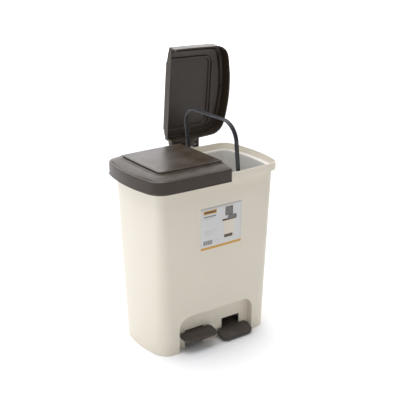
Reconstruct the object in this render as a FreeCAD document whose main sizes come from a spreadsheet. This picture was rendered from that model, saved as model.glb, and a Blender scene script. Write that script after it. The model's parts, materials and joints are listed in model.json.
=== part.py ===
import FreeCAD, Part

import math
import os
import re

import Sketcher

# Pedal trash can with two lids over two lift-out buckets. Millimetres, +Z up, -Y is the front with
# the pedals, and the origin is on the floor under the middle of the outer bin.

SIZES = {
    # outer bin
    "bin_height": 430,
    "bin_width": 345.6,
    "bin_depth": 201.5,
    "taper_width": 9.6,
    "taper_depth": 9.9,
    "side_bow": 13.6,
    "front_bow": 4.25,
    "top_corner": 21,
    "foot_corner": 38,
    "bin_wall": 2.5,
    "band_height": 19,
    "band_step": 9.8,
    "floor_level": 56,
    "floor_wall": 2.5,
    "recess_side": 8,
    "recess_height": 91,
    "recess_corner": 30,
    "recess_depth": 28.75,
    "post_half": 7,
    "post_depth": 10.85,
    "post_reach": 3.25,
    "boss_half": 6,
    "inner_screw": 12,
    "axle_rib_near": 9,
    "axle_rib_far": 3,
    "axle_rib_half": 12,
    "axle_rib_drop": 10,
    # lids
    "lid_overhang": 17.1,
    "lid_drop": 18,
    "skirt_height": 26,
    "lid_rise": 14.5,
    "lid_wall": 2.5,
    "shoulder": 4,
    "border_side": 41.9,
    "border_front": 37.85,
    "border_back": 22.85,
    "plateau_corner": 14,
    "plateau_side_radius": 2500,
    "plateau_front_radius": 4000,
    "seam": 21.6,
    "seam_gap": 2,
    "notch_gap": 2,
    "notch_rise": 1.5,
    "open_angle": 84,
    "pad_radius": 3.5,
    "pad_place": 85,
    "pad_sag": 1.1,
    "pad_seam": 16,
    "pad_gap": 0.3,
    "pad_depth": 2,
    # hinge at the back
    "hinge_reach": 42.25,
    "hinge_drop": 12,
    "pin_radius": 3,
    "pin_overhang": 5,
    "running_gap": 0.05,
    "knuckle_radius": 6,
    "knuckle_wall": 5,
    "arm_inner": 22,
    "arm_second": 23,
    "arm_outer": 50,
    "arm_neck": 15,
    "ear_inner": 14,
    "ear_outer": 42,
    "plate_wall": 3,
    "plate_side": 8,
    "plate_drop": 24,
    "plate_height": 28,
    # pedals, rods and horns
    "pedal_spacing": 108,
    "crank": 10.25,
    "cross_pin_radius": 2,
    "pin_hole_gap": 0.6,
    "slot_half": 3,
    "slot_start": 0.4,
    "horn_reach": 14.5,
    "horn_wall": 2.5,
    "rod_radius": 2.5,
    "rod_offset": 0.2,
    "clevis_width": 12.8,
    "clevis_depth": 7.6,
    "clevis_length": 22,
    "clevis_slot": 14,
    "clevis_nose": 3.8,
    "clevis_gap": 0.4,
    "axle_back": 35,
    "axle_height": 30,
    "axle_overhang": 40,
    "cap_rim": 3.5,
    "cap_wall": 2.6,
    "cap_gap": 0.2,
    "neck_width": 49,
    "neck_wall": 6,
    "hub_wall": 5,
    "hub_inset": 4,
    "tread_wall": 8,
    "pedal_gap": 18,
    "pedal_length": 38,
    "pedal_reach": 40,
    "pedal_slope": 13,
    "pedal_corner": 14,
    "pedal_back_corner": 8,
    "lever_width": 14,
    "lever_height": 12,
    "tongue_length": 14,
    "nose_radius": 5.5,
    "slot_clearance": 2,
    "slot_rise": 15.5,
    # rear cover
    "cover_side": 18,
    "cover_room": 3.75,
    "cover_bottom": 8,
    "cover_gap": 4,
    "cover_wall": 2.5,
    "cover_corner": 12,
    "flange_side": 19,
    "screw_side": 12,
    "screw_inset": 22,
    "screw_radius": 1.5,
    "screw_clearance": 0.2,
    "screw_head": 4,
    "screw_head_height": 2.4,
    "screw_length": 8,
    # inner buckets
    "bucket_wall": 1.8,
    "bucket_gap": 3.3,
    "bucket_lift": 3,
    "bucket_foot_side": 17.2,
    "bucket_foot_gap": 7.5,
    "bucket_corner": 16,
    "flange_wall": 2,
    "flange_reach": 5.5,
    "bucket_seam": 14,
    "bucket_split": 1,
    "divider_gap": 4,
    "lug_half": 8,
    "lug_wall": 3.6,
    "lug_gap": 0.7,
    "lug_rise": 5,
    # bail handles
    "bail_pivot": 51.5,
    "bail_clear": 0.3,
    "bail_side": 1.75,
    "bail_wall": 3,
    "bail_width": 10,
    "bail_corner": 45,
    "bail_lean": 5,
    "bail_lift": 6,
    "stud_radius": 2,
    "eye_radius": 5.5,
    # label
    "label_left": 51,
    "label_right": 64,
    "label_drop": 76,
    "label_height": 103,
    "label_wall": 0.4,
}

# sizes that follow from others, written out wherever a formula names them
FOLLOWING = {
    "foot_width": "bin_width - 2 * taper_width",
    "foot_depth": "bin_depth - 2 * taper_depth",
    "recess_back": "bin_depth / 2 - recess_depth",
    "recess_width": "pedal_spacing + pedal_width + 2 * recess_side",
    "lid_bottom": "bin_height - lid_drop",
    "plateau_width": "bin_width + 2 * lid_overhang - 2 * border_side",
    "plateau_front": "bin_depth / 2 + lid_overhang - border_front",
    "plateau_back": "bin_depth / 2 + lid_overhang - border_back",
    "hinge_back": "bin_depth / 2 + hinge_reach",
    "hinge_height": "bin_height - hinge_drop",
    "arm_near": "pedal_spacing / 2 - arm_inner",
    "arm_middle": "pedal_spacing / 2 + arm_second",
    "arm_far": "pedal_spacing / 2 + arm_outer",
    "ear_near": "pedal_spacing / 2 - ear_inner",
    "ear_far": "pedal_spacing / 2 + ear_outer",
    "plate_back": "bin_depth / 2 + post_reach",
    "plate_width": "2 * arm_far + 2 * plate_side",
    "plate_top": "bin_height - plate_drop",
    "plate_bottom": "plate_top - plate_height",
    "post_front": "foot_depth / 2 - post_depth",
    "axle_length": "pedal_spacing + 2 * axle_overhang",
    "pedal_width": "pedal_spacing - pedal_gap",
    "pedal_front": "recess_back + pedal_reach",
    "cover_width": "pedal_spacing + 2 * cover_side",
    "cover_depth": "hinge_back - crank + nose_radius + cover_room + cover_wall - plate_back",
    "cover_top": "plate_bottom - cover_gap",
    "flange_width": "cover_width + 2 * flange_side",
    "screw_spacing": "cover_width + 2 * screw_side",
    "bucket_foot_width": "foot_width - 2 * bucket_foot_side",
    "bucket_foot_depth": "2 * (recess_back - bin_wall - bucket_foot_gap)",
    "bail_height": "bin_width / 2 - bail_pivot - bail_clear",
    "bail_span": "bin_depth + 2 * bail_side",
    "label_top": "bin_height - label_drop",
    "label_bottom": "label_top - label_height",
}

doc = FreeCAD.newDocument("PedalTrashCan")
sheet = doc.addObject("Spreadsheet::Sheet", "Sizes")
for row, (alias, value) in enumerate(SIZES.items(), start=1):
    sheet.set(f"A{row}", alias)
    sheet.set(f"B{row}", str(value))
    sheet.setAlias(f"B{row}", alias)
doc.recompute()


# ---------------------------------------------------------------- formulas of the sheet

def formula(text):
    """The text with each size name pointing at its cell of the sheet."""
    def place(word):
        if word[0] in SIZES:
            return "Sizes." + word[0]
        if word[0] in FOLLOWING:
            return f"({formula(FOLLOWING[word[0]])})"
        return word[0]

    return re.sub(r"[a-z_]+", place, text)


def number(text):
    """The value of a formula, without its unit."""
    result = sheet.evalExpression(formula(text))
    return float(getattr(result, "Value", result))


def bind(item, prop, text):
    item.setExpression(prop, formula(text))


def sided(side, low, high):
    """A span of X on the right, or its mirror image on the left."""
    if side > 0:
        return low, high
    return f"-({high})", f"-({low})"


# ---------------------------------------------------------------- simple solids

def new(kind, name):
    return doc.addObject(kind, name)


def box(name, x_span, y_span, z_span):
    item = new("Part::Box", name)
    for size, letter, (low, high) in zip(("Length", "Width", "Height"), "xyz", (x_span, y_span, z_span)):
        bind(item, size, f"({high}) - ({low})")
        bind(item, f"Placement.Base.{letter}", low)
    return item


TURNS = {
    "X": FreeCAD.Rotation(FreeCAD.Vector(0, 1, 0), 90),
    "Y": FreeCAD.Rotation(FreeCAD.Vector(1, 0, 0), -90),
    "Z": FreeCAD.Rotation(),
}


def cylinder(name, axis, radius, start, end, across):
    """A cylinder along a row axis; across holds its two other coordinates, in X, Y, Z order."""
    item = new("Part::Cylinder", name)
    item.Placement = FreeCAD.Placement(FreeCAD.Vector(), TURNS[axis])
    bind(item, "Radius", radius)
    bind(item, "Height", f"({end}) - ({start})")
    bind(item, f"Placement.Base.{axis.lower()}", start)
    for letter, place in zip([c for c in "xyz" if c != axis.lower()], across):
        bind(item, f"Placement.Base.{letter}", place)
    return item


def fuse(name, *items):
    item = new("Part::MultiFuse", name)
    item.Shapes = list(items)
    return item


def common(name, *items):
    item = new("Part::MultiCommon", name)
    item.Shapes = list(items)
    return item


def cut(name, base, *tools):
    item = new("Part::Cut", name)
    item.Base = base
    item.Tool = tools[0] if len(tools) == 1 else fuse(name + "_tools", *tools)
    return item


# ---------------------------------------------------------------- sketches

PLANES = {
    "XY": FreeCAD.Rotation(),
    "XZ": FreeCAD.Rotation(FreeCAD.Vector(1, 0, 0), 90),
    "YZ": FreeCAD.Rotation(FreeCAD.Vector(1, 1, 1), 120),
}


def fix_point(sketch, edge, end, place):
    for direction, text in zip(("DistanceX", "DistanceY"), place):
        index = sketch.addConstraint(Sketcher.Constraint(direction, -1, 1, edge, end, number(text)))
        bind(sketch, f"Constraints[{index}]", text)


def draw_profile(sketch, points, arcs=None):
    """A closed counter-clockwise outline through points. arcs maps an edge's number to the radius
    of a minor arc that bulges outwards there, or to None for a half circle on an upright edge."""
    arcs = arcs or {}
    places = [FreeCAD.Vector(number(x), number(y), 0) for x, y in points]
    count = len(points)
    for index in range(count):
        start, end = places[index], places[(index + 1) % count]
        if index in arcs:
            chord = end - start
            radius = number(arcs[index]) if arcs[index] else chord.Length / 2
            reach = math.sqrt(max(radius ** 2 - (chord.Length / 2) ** 2, 0))
            outward = FreeCAD.Vector(chord.y, -chord.x, 0).normalize()
            middle = (start + end) / 2 + outward * (radius - reach)
            sketch.addGeometry(Part.Arc(start, middle, end), False)
        else:
            sketch.addGeometry(Part.LineSegment(start, end), False)
    for index in range(count):
        follower = (index + 1) % count
        sketch.addConstraint(Sketcher.Constraint("Coincident", index, 2, follower, 1))
    for index, place in enumerate(points):
        fix_point(sketch, index, 1, place)
    for index, text in arcs.items():
        if text:
            rule = Sketcher.Constraint("Radius", index, number(text))
        else:
            text = points[index][0]
            rule = Sketcher.Constraint("DistanceX", -1, 1, index, 3, number(text))
        bind(sketch, f"Constraints[{sketch.addConstraint(rule)}]", text)


def profile(name, plane, points, span, arcs=None):
    """A solid of one outline in a plane of the row, over a span of the third axis."""
    sketch = new("Sketcher::SketchObject", name + "_outline")
    sketch.Placement = FreeCAD.Placement(FreeCAD.Vector(), PLANES[plane])
    draw_profile(sketch, points, arcs)
    item = new("Part::Extrusion", name)
    item.Base = sketch
    item.DirMode = "Normal"
    item.Solid = True
    low, high = span
    if plane == "XZ":
        item.Reversed = True
    bind(item, "LengthFwd", f"({high}) - ({low})")
    bind(item, f"Placement.Base.{({'X', 'Y', 'Z'} - set(plane)).pop().lower()}", low)
    return item


# ---------------------------------------------------------------- bowed outlines

class Outline:
    """A rounded rectangle with bowed sides, centred on Z: half sizes, bow radii and corner radius."""

    def __init__(self, half_width, half_depth, side_radius, front_radius, corner):
        self.texts = (half_width, half_depth, side_radius, front_radius, corner)

    def grown(self, amount):
        return Outline(*(f"({text}) + ({amount})" for text in self.texts))


def bow_radius(half_chord, bow):
    return f"(({half_chord})^2 + ({bow})^2) / (2 * ({bow}))"


def bowed(width, depth, corner):
    side = bow_radius(f"{depth} / 2 - front_bow", "side_bow")
    front = bow_radius(f"{width} / 2 - side_bow", "front_bow")
    return Outline(f"{width} / 2", f"{depth} / 2", side, front, corner)


TOP = bowed("bin_width", "bin_depth", "top_corner")
FOOT = bowed("foot_width", "foot_depth", "foot_corner")
BUCKET_TOP = TOP.grown("-bin_wall - bucket_gap")
BUCKET_FOOT = bowed("bucket_foot_width", "bucket_foot_depth", "bucket_corner")
PLATEAU = Outline("plateau_width / 2", "(plateau_front + plateau_back) / 2", "plateau_side_radius",
                  "plateau_front_radius", "plateau_corner")
LEDGE = "bin_height - band_height"


def ring(name, outline, level, shift="0"):
    """A bowed outline as a sketch at one height: four side arcs tangent to four corner arcs."""
    half_width, half_depth, side_radius, front_radius, corner = (number(t) for t in outline.texts)
    side_centre = half_width - side_radius
    front_centre = half_depth - front_radius
    # the corner's centre is corner-deep inside both bows
    near, far = side_radius - corner, front_radius - corner
    apart = math.hypot(side_centre, front_centre)
    along = (near ** 2 - far ** 2 + apart ** 2) / (2 * apart)
    off = math.sqrt(near ** 2 - along ** 2)
    way = FreeCAD.Vector(-side_centre, front_centre, 0) / apart
    middle = FreeCAD.Vector(side_centre, 0, 0) + way * along
    tries = [middle + FreeCAD.Vector(-way.y, way.x, 0) * off * sign for sign in (1, -1)]
    round_centre = max(tries, key=lambda point: point.x + point.y)
    low = math.atan2(round_centre.y, round_centre.x - side_centre)
    high = math.atan2(round_centre.y - front_centre, round_centre.x)
    x, y, turn = round_centre.x, round_centre.y, math.pi
    arcs = (
        ((side_centre, 0), side_radius, -low, low),
        ((x, y), corner, low, high),
        ((0, front_centre), front_radius, high, turn - high),
        ((-x, y), corner, turn - high, turn - low),
        ((-side_centre, 0), side_radius, turn - low, turn + low),
        ((-x, -y), corner, turn + low, turn + high),
        ((0, -front_centre), front_radius, turn + high, 2 * turn - high),
        ((x, -y), corner, 2 * turn - high, 2 * turn - low),
    )
    sketch = new("Sketcher::SketchObject", name)
    bind(sketch, "Placement.Base.z", level)
    bind(sketch, "Placement.Base.y", shift)
    for (centre_x, centre_y), radius, start, end in arcs:
        circle = Part.Circle(FreeCAD.Vector(centre_x, centre_y, 0), FreeCAD.Vector(0, 0, 1), radius)
        sketch.addGeometry(Part.ArcOfCircle(circle, start, end), False)
    for index in range(8):
        sketch.addConstraint(Sketcher.Constraint("Tangent", index, 2, (index + 1) % 8, 1))
    width_text, depth_text, side_text, front_text, corner_text = outline.texts
    radii = (side_text, corner_text, front_text, corner_text) * 2
    for index, text in enumerate(radii):
        place = sketch.addConstraint(Sketcher.Constraint("Radius", index, arcs[index][1]))
        bind(sketch, f"Constraints[{place}]", text)
    for index, axis, direction, text in (
            (0, -1, "DistanceX", f"({width_text}) - ({side_text})"),
            (2, -2, "DistanceY", f"({depth_text}) - ({front_text})"),
            (4, -1, "DistanceX", f"({side_text}) - ({width_text})"),
            (6, -2, "DistanceY", f"({front_text}) - ({depth_text})")):
        sketch.addConstraint(Sketcher.Constraint("PointOnObject", index, 3, axis))
        place = sketch.addConstraint(Sketcher.Constraint(direction, -1, 1, index, 3, number(text)))
        bind(sketch, f"Constraints[{place}]", text)
    return sketch


def tower(name, *levels):
    """A solid through bowed outlines, given as (outline, height) or (outline, height, shift)."""
    item = new("Part::Loft", name)
    item.Sections = [ring(f"{name}_ring_{index}", *level) for index, level in enumerate(levels)]
    item.Solid = True
    item.Ruled = True
    return item


# ---------------------------------------------------------------- finished sub-parts

PARTS = []
LEFT, RIGHT = -1, 1
SIDE_NAME = {LEFT: "left", RIGHT: "right"}


def finish(item, label, placement=None):
    item.Label = label
    if placement is not None:
        item.Placement = placement.multiply(item.Placement)
    PARTS.append(item)
    return item


def turned(axis, angle, centre):
    """A turn by an angle about an axis through a point."""
    return FreeCAD.Placement(FreeCAD.Vector(), FreeCAD.Rotation(FreeCAD.Vector(*axis), angle),
                             FreeCAD.Vector(*centre))


# places that several sub-parts share
ROD_BACK = "hinge_back - crank"
LEVER_REACH = f"({ROD_BACK} - axle_back + rod_offset)"
HALF_TRAVEL = "(crank * tan(open_angle / 2))"
HORN_ANGLE = "(open_angle / 2)"
PEDAL_X = "pedal_spacing / 2"
AXLE_BORE = "pin_radius + running_gap"
BAIL_LEVEL = f"({LEDGE} + bin_wall + flange_wall + bail_lift)"
BAIL_LEG = "(bail_span / 2)"
SCREW_LEVELS_COVER = ("cover_bottom + screw_inset", "(cover_bottom + cover_top) / 2",
                      "cover_top - screw_inset")
SCREW_LEVEL_PLATE = "(plate_bottom + plate_top) / 2"
SCREW_BORE = "screw_radius + screw_clearance"


def outer_bin():
    """Tapered shell with a raised floor, a stepped rim band, a toe recess and ribs for the levers."""
    skin = tower("bin_skin", (FOOT, "0"), (TOP, LEDGE))
    band = tower("bin_band", (TOP.grown("band_step"), LEDGE), (TOP.grown("band_step"), "bin_height"))
    posts = []
    for side in (LEFT, RIGHT):
        x_span = sided(side, "screw_spacing / 2 - post_half", "screw_spacing / 2 + post_half")
        posts.append(box(f"bin_post_{SIDE_NAME[side]}", x_span, ("post_front", "plate_back"),
                         ("cover_bottom", "plate_top")))
        x_span = sided(side, "inner_screw - boss_half", "inner_screw + boss_half")
        posts.append(box(f"bin_boss_{SIDE_NAME[side]}", x_span, ("post_front", "plate_back"),
                         ("plate_bottom", "plate_top")))
    solid = fuse("bin_solid", skin, band, *posts)
    hollow = tower("bin_hollow", (FOOT.grown("-bin_wall"), "-0.01"), (TOP.grown("-bin_wall"), LEDGE))
    deck = box("bin_deck", ("-bin_width", "bin_width"), ("-bin_depth", "bin_depth"),
               ("floor_level - floor_wall", "floor_level"))
    hollow = cut("bin_hollow_rooms", hollow, deck)
    neck = tower("bin_mouth", (TOP.grown("-bin_wall"), f"{LEDGE} - 0.01"),
                 (TOP.grown("-bin_wall"), f"{LEDGE} + bin_wall + 0.01"))
    mouth = TOP.grown("band_step - bin_wall")
    mouth = tower("bin_band_mouth", (mouth, f"{LEDGE} + bin_wall"), (mouth, "bin_height + 1"))
    shell = cut("bin_shell", solid, hollow, neck, mouth)

    def arch(name, grow, y_span):
        half = f"(recess_width / 2 + {grow})"
        top = f"(recess_height + {grow})"
        radius = f"(recess_corner + {grow})"
        points = [(f"-{half}", "-1"), (half, "-1"), (half, f"{top} - {radius}"),
                  (f"{half} - {radius}", top), (f"-{half} + {radius}", top), (f"-{half}", f"{top} - {radius}")]
        return profile(name, "XZ", points, y_span, {2: radius, 4: radius})

    pocket_wall = arch("bin_recess_wall", "bin_wall", ("-bin_depth", "bin_wall - recess_back"))
    inside = tower("bin_recess_limit", (FOOT, "0"), (TOP, LEDGE))
    pocket_wall = common("bin_recess_shell", pocket_wall, inside)
    rib = box("bin_middle_rib", ("-bin_wall", "bin_wall"), ("bin_wall - recess_back - 1", "foot_depth / 2 - 1.5"),
              ("0", "floor_level - 1"))
    ribs = [rib]
    for side in (LEFT, RIGHT):
        x_span = sided(side, "axle_length / 2 - axle_rib_near", "axle_length / 2 - axle_rib_far")
        ribs.append(box(f"bin_axle_rib_{SIDE_NAME[side]}", x_span,
                        ("axle_back - axle_rib_half", "axle_back + axle_rib_half"),
                        ("axle_height - axle_rib_drop", "floor_level - 1")))
    shell = fuse("bin_ribbed", shell, pocket_wall, *ribs)
    tools = [arch("bin_recess", "0", ("-bin_depth", "-recess_back"))]
    tools.append(cylinder("bin_axle_bore", "X", "pin_radius", "-axle_length / 2", "axle_length / 2",
                          ("axle_back", "axle_height")))
    for side in (LEFT, RIGHT):
        name = SIDE_NAME[side]
        x_span = sided(side, f"{PEDAL_X} - neck_width / 2 - slot_clearance",
                       f"{PEDAL_X} + neck_width / 2 + slot_clearance")
        tools.append(box(f"bin_neck_slot_{name}", x_span, ("-recess_back - 5", "5 - recess_back"),
                         ("-1", "axle_height + slot_rise")))
        x_span = sided(side, f"{PEDAL_X} - lever_width / 2 - slot_clearance",
                       f"{PEDAL_X} + lever_width / 2 + slot_clearance")
        tools.append(box(f"bin_lever_slot_{name}", x_span, ("foot_depth / 2 - 10", "plate_back + 1"),
                         ("-1", "floor_level - floor_wall - 3")))
        screw_x = f"{side} * screw_spacing / 2"
        for index, level in enumerate(SCREW_LEVELS_COVER + (SCREW_LEVEL_PLATE,)):
            tools.append(cylinder(f"bin_screw_hole_{name}_{index}", "Y", "screw_radius",
                                  "plate_back - screw_length", "plate_back + 1", (screw_x, level)))
        tools.append(cylinder(f"bin_boss_hole_{name}", "Y", "screw_radius", "plate_back - screw_length + 4",
                              "plate_back + 1", (f"{side} * inner_screw", SCREW_LEVEL_PLATE)))
    finish(cut("bin_finished", shell, *tools), "outer_bin")


def hinge_bracket():
    """Back plate with two bored ears for each lid."""
    half = "plate_width / 2"
    plate = box("bracket_plate", (f"-{half}", half), ("plate_back", "plate_back + plate_wall"),
                ("plate_bottom", "plate_top"))
    pieces, holes = [plate], []
    face = "plate_back + plate_wall - 1"
    for side in (LEFT, RIGHT):
        for ear in ("ear_near", "ear_far"):
            name = f"{ear}_{SIDE_NAME[side]}"
            span = sided(side, f"{ear} - knuckle_wall / 2", f"{ear} + knuckle_wall / 2")
            points = [(face, "plate_bottom"),
                      ("hinge_back + 0.46 * knuckle_radius", "hinge_height - 0.88 * knuckle_radius"),
                      ("hinge_back + 0.92 * knuckle_radius", "hinge_height - 0.38 * knuckle_radius"),
                      ("hinge_back - 0.6 * knuckle_radius", "hinge_height + 0.8 * knuckle_radius"),
                      ("plate_back + 15", "plate_top - 0.5"), (face, "plate_top - 4")]
            pieces.append(profile(name, "YZ", points, span))
            pieces.append(cylinder(name + "_knuckle", "X", "knuckle_radius", *span,
                                   ("hinge_back", "hinge_height")))
        holes.append(cylinder(f"bracket_screw_hole_{SIDE_NAME[side]}", "Y", SCREW_BORE,
                              "plate_back - 1", "plate_back + plate_wall + 1",
                              (f"{side} * screw_spacing / 2", SCREW_LEVEL_PLATE)))
        holes.append(cylinder(f"bracket_boss_hole_{SIDE_NAME[side]}", "Y", SCREW_BORE,
                              "plate_back - 1", "plate_back + plate_wall + 1",
                              (f"{side} * inner_screw", SCREW_LEVEL_PLATE)))
    holes.append(cylinder("bracket_bore", "X", AXLE_BORE, "-plate_width", "plate_width",
                          ("hinge_back", "hinge_height")))
    finish(cut("bracket_finished", fuse("bracket_solid", *pieces), *holes), "hinge_bracket")


def screws(label, places, wall):
    """Pan-head screws along Y, heads at the back; places holds each screw's X, level and length."""
    pieces = []
    for index, (x, level, length) in enumerate(places):
        head = cylinder(f"{label}_head_{index}", "Y", "screw_head", f"plate_back + {wall}",
                        f"plate_back + {wall} + screw_head_height", (x, level))
        shank = cylinder(f"{label}_shank_{index}", "Y", "screw_radius - 0.05", f"plate_back - {length}",
                         f"plate_back + {wall} + 1", (x, level))
        pieces.append(fuse(f"{label}_{index}", head, shank))
    group = new("Part::Compound", label)
    group.Links = pieces
    finish(group, label)


def rear_cover():
    """Channel over the push rods, with flanges on the posts of the bin."""
    body = new("PartDesign::Body", "cover_body")

    def plane(role):
        return next(f for f in body.Origin.OriginFeatures if f.Role == role)

    def sketch_on(name, points, level, arcs=None):
        sketch = body.newObject("Sketcher::SketchObject", name)
        sketch.AttachmentSupport = (plane("XY_Plane"), [""])
        sketch.MapMode = "FlatFace"
        bind(sketch, "AttachmentOffset.Base.z", level)
        draw_profile(sketch, points, arcs)
        return sketch

    def rectangle(half, front, back):
        return [(f"-({half})", front), (half, front), (half, back), (f"-({half})", back)]

    def channel_outline(half, front, back, corner):
        points = [(f"-({half})", front), (half, front), (half, f"{back} - ({corner})"),
                  (f"{half} - ({corner})", back), (f"-({half}) + ({corner})", back),
                  (f"-({half})", f"{back} - ({corner})")]
        return points, {2: corner, 4: corner}

    back = "plate_back + cover_depth"
    channel = body.newObject("PartDesign::Pad", "cover_channel")
    points, arcs = channel_outline("cover_width / 2", "plate_back", back, "cover_corner")
    channel.Profile = sketch_on("cover_channel_outline", points, "cover_bottom", arcs)
    bind(channel, "Length", "cover_top - cover_bottom")
    flange = body.newObject("PartDesign::Pad", "cover_flange")
    flange.Profile = sketch_on("cover_flange_outline", rectangle("flange_width / 2", "plate_back",
                                                                 "plate_back + cover_wall"), "cover_bottom")
    bind(flange, "Length", "cover_top - cover_bottom")
    room = body.newObject("PartDesign::Pocket", "cover_room")
    points, arcs = channel_outline("cover_width / 2 - cover_wall", "plate_back - 1", f"{back} - cover_wall",
                                   "cover_corner - cover_wall")
    room.Profile = sketch_on("cover_room_outline", points, "cover_top - cover_wall", arcs)
    bind(room, "Length", "cover_top - cover_bottom - 2 * cover_wall")
    holes = []
    for side in (LEFT, RIGHT):
        holes.append(cylinder(f"cover_rod_hole_{SIDE_NAME[side]}", "Z", "rod_radius + 1", "cover_top - 10",
                              "cover_top + 1", (f"{side} * {PEDAL_X}", ROD_BACK)))
        for index, level in enumerate(SCREW_LEVELS_COVER):
            holes.append(cylinder(f"cover_screw_hole_{SIDE_NAME[side]}_{index}", "Y", SCREW_BORE,
                                  "plate_back - 1", "plate_back + cover_wall + 1",
                                  (f"{side} * screw_spacing / 2", level)))
    finish(cut("cover_finished", body, *holes), "rear_cover")


def lid(side):
    """One lid: skirt, shoulder and sloping border up to a plateau, seam wall, hinge arms and horn."""
    name = f"lid_{SIDE_NAME[side]}"
    top = "lid_bottom + skirt_height"
    plateau = f"{top} + lid_rise"
    middle = "(plateau_back - plateau_front) / 2"
    rim = TOP.grown("lid_overhang")
    solid = tower(f"{name}_solid", (rim, "lid_bottom"), (rim, top),
                  (rim.grown("-shoulder"), f"{top} + shoulder"), (PLATEAU, plateau, middle))
    room = rim.grown("-lid_wall")
    room = tower(f"{name}_room", (room, "lid_bottom - 1"), (room, f"{top} - 1"),
                 (room.grown("-shoulder"), f"{top} + shoulder - lid_wall"),
                 (PLATEAU.grown("-1"), f"{plateau} - lid_wall", middle))
    edge = f"seam + {side} * seam_gap / 2"
    if side > 0:
        outside, inside = (edge, "bin_width"), (f"{edge} + lid_wall", "bin_width")
    else:
        outside, inside = ("-bin_width", edge), ("-bin_width", f"{edge} - lid_wall")
    deep, tall = ("-bin_width", "bin_width"), ("0", "2 * bin_height")
    solid = common(f"{name}_half", solid, box(f"{name}_half_box", outside, deep, tall))
    room = common(f"{name}_half_room", room, box(f"{name}_room_box", inside, deep, tall))
    clear = "bin_depth / 2 + band_step + notch_gap"
    notch = box(f"{name}_seam_notch", ("seam - 2 * lid_wall", "seam + 2 * lid_wall"), (f"-({clear})", clear),
                ("lid_bottom - 5", "bin_height + notch_rise"))
    shell = cut(f"{name}_shell", solid, room, notch)
    pieces = [shell]
    skirt = "bin_depth / 2 + lid_overhang - 3"
    for arm in ("arm_near", "arm_middle", "arm_far", PEDAL_X):
        span = sided(side, f"{arm} - knuckle_wall / 2", f"{arm} + knuckle_wall / 2")
        tag = f"{name}_arm_{len(pieces)}"
        points = [(skirt, "lid_bottom + 2"),
                  ("hinge_back - 0.2 * knuckle_radius", "hinge_height - 0.97 * knuckle_radius"),
                  ("hinge_back + 0.7 * knuckle_radius", "hinge_height + 0.7 * knuckle_radius"),
                  ("hinge_back - arm_neck", f"{top} - 1"), (skirt, f"{top} - 1")]
        pieces.append(profile(tag, "YZ", points, span))
        pieces.append(cylinder(tag + "_knuckle", "X", "knuckle_radius", *span, ("hinge_back", "hinge_height")))
    x_low = sided(side, f"{PEDAL_X} - knuckle_wall / 2", f"{PEDAL_X} + knuckle_wall / 2")[0]
    horn_half = "(slot_half + horn_wall)"
    horn = profile(f"{name}_horn", "YZ", [(f"-horn_reach", f"-{horn_half}"), ("0", f"-{horn_half}"),
                                         ("0", horn_half), ("-horn_reach", horn_half)],
                   ("0", "knuckle_wall"), {3: None})
    slot_start = "crank - cross_pin_radius - slot_start"
    slot = profile(f"{name}_slot", "YZ", [("-horn_reach", "-slot_half"), (f"-({slot_start})", "-slot_half"),
                                         (f"-({slot_start})", "slot_half"), ("-horn_reach", "slot_half")],
                   ("-1", "knuckle_wall + 1"), {3: None})
    for item, x in ((horn, x_low), (slot, f"{x_low} - 1")):
        item.Placement = FreeCAD.Placement(FreeCAD.Vector(), FreeCAD.Rotation(FreeCAD.Vector(1, 0, 0), 0))
        for letter, place in zip("xyz", (x, "hinge_back", "hinge_height")):
            bind(item, f"Placement.Base.{letter}", place)
        item.Placement.Rotation = FreeCAD.Rotation(FreeCAD.Vector(1, 0, 0), number(HORN_ANGLE))
        bind(item, "Placement.Rotation.Angle", HORN_ANGLE)
    pieces.append(horn)
    solid = fuse(f"{name}_armed", *pieces)
    bore = cylinder(f"{name}_bore", "X", "pin_radius", *sided(side, "seam", "plate_width"),
                    ("hinge_back", "hinge_height"))
    pads = [pad(f"{name}_pad_hole_{index}", place) for index, place in enumerate(pad_places(side))]
    finish(cut(f"{name}_finished", solid, slot, bore, *pads), name, lid_turn(side))


def lid_turn(side):
    """The left lid is shut and the right lid stands open."""
    angle = 0 if side < 0 else -number("open_angle")
    return turned((1, 0, 0), angle, (0, number("hinge_back"), number("hinge_height")))


def pad_places(side):
    """Where a lid's rubber pads meet the rim band: outer side, back corner, and front by the seam."""
    band = "band_step - bin_wall / 2"
    outer = f"{side} * (bin_width / 2 + {band})"
    back = f"bin_depth / 2 + {band} - pad_sag"
    front = f"-(bin_depth / 2 + {band})"
    return ((outer, "0"), (f"{side} * pad_place", back), (f"seam + {side} * pad_seam", front))


def pad(name, place):
    return cylinder(name, "Z", "pad_radius", "bin_height + pad_gap",
                    "lid_bottom + skirt_height + pad_depth", place)


def lid_bumpers(side):
    label = f"lid_bumpers_{SIDE_NAME[side]}"
    group = new("Part::Compound", label)
    group.Links = [pad(f"{label}_{index}", place) for index, place in enumerate(pad_places(side))]
    finish(group, label, lid_turn(side))


def hinge_pin(side):
    label = f"hinge_pin_{SIDE_NAME[side]}"
    pin = cylinder(f"pin_rod_{SIDE_NAME[side]}", "X", "pin_radius",
                   *sided(side, "arm_near - pin_overhang", "arm_far + pin_overhang"),
                   ("hinge_back", "hinge_height"))
    group = new("Part::Compound", label)
    group.Links = [pin]
    finish(group, label, lid_turn(side))


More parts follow.
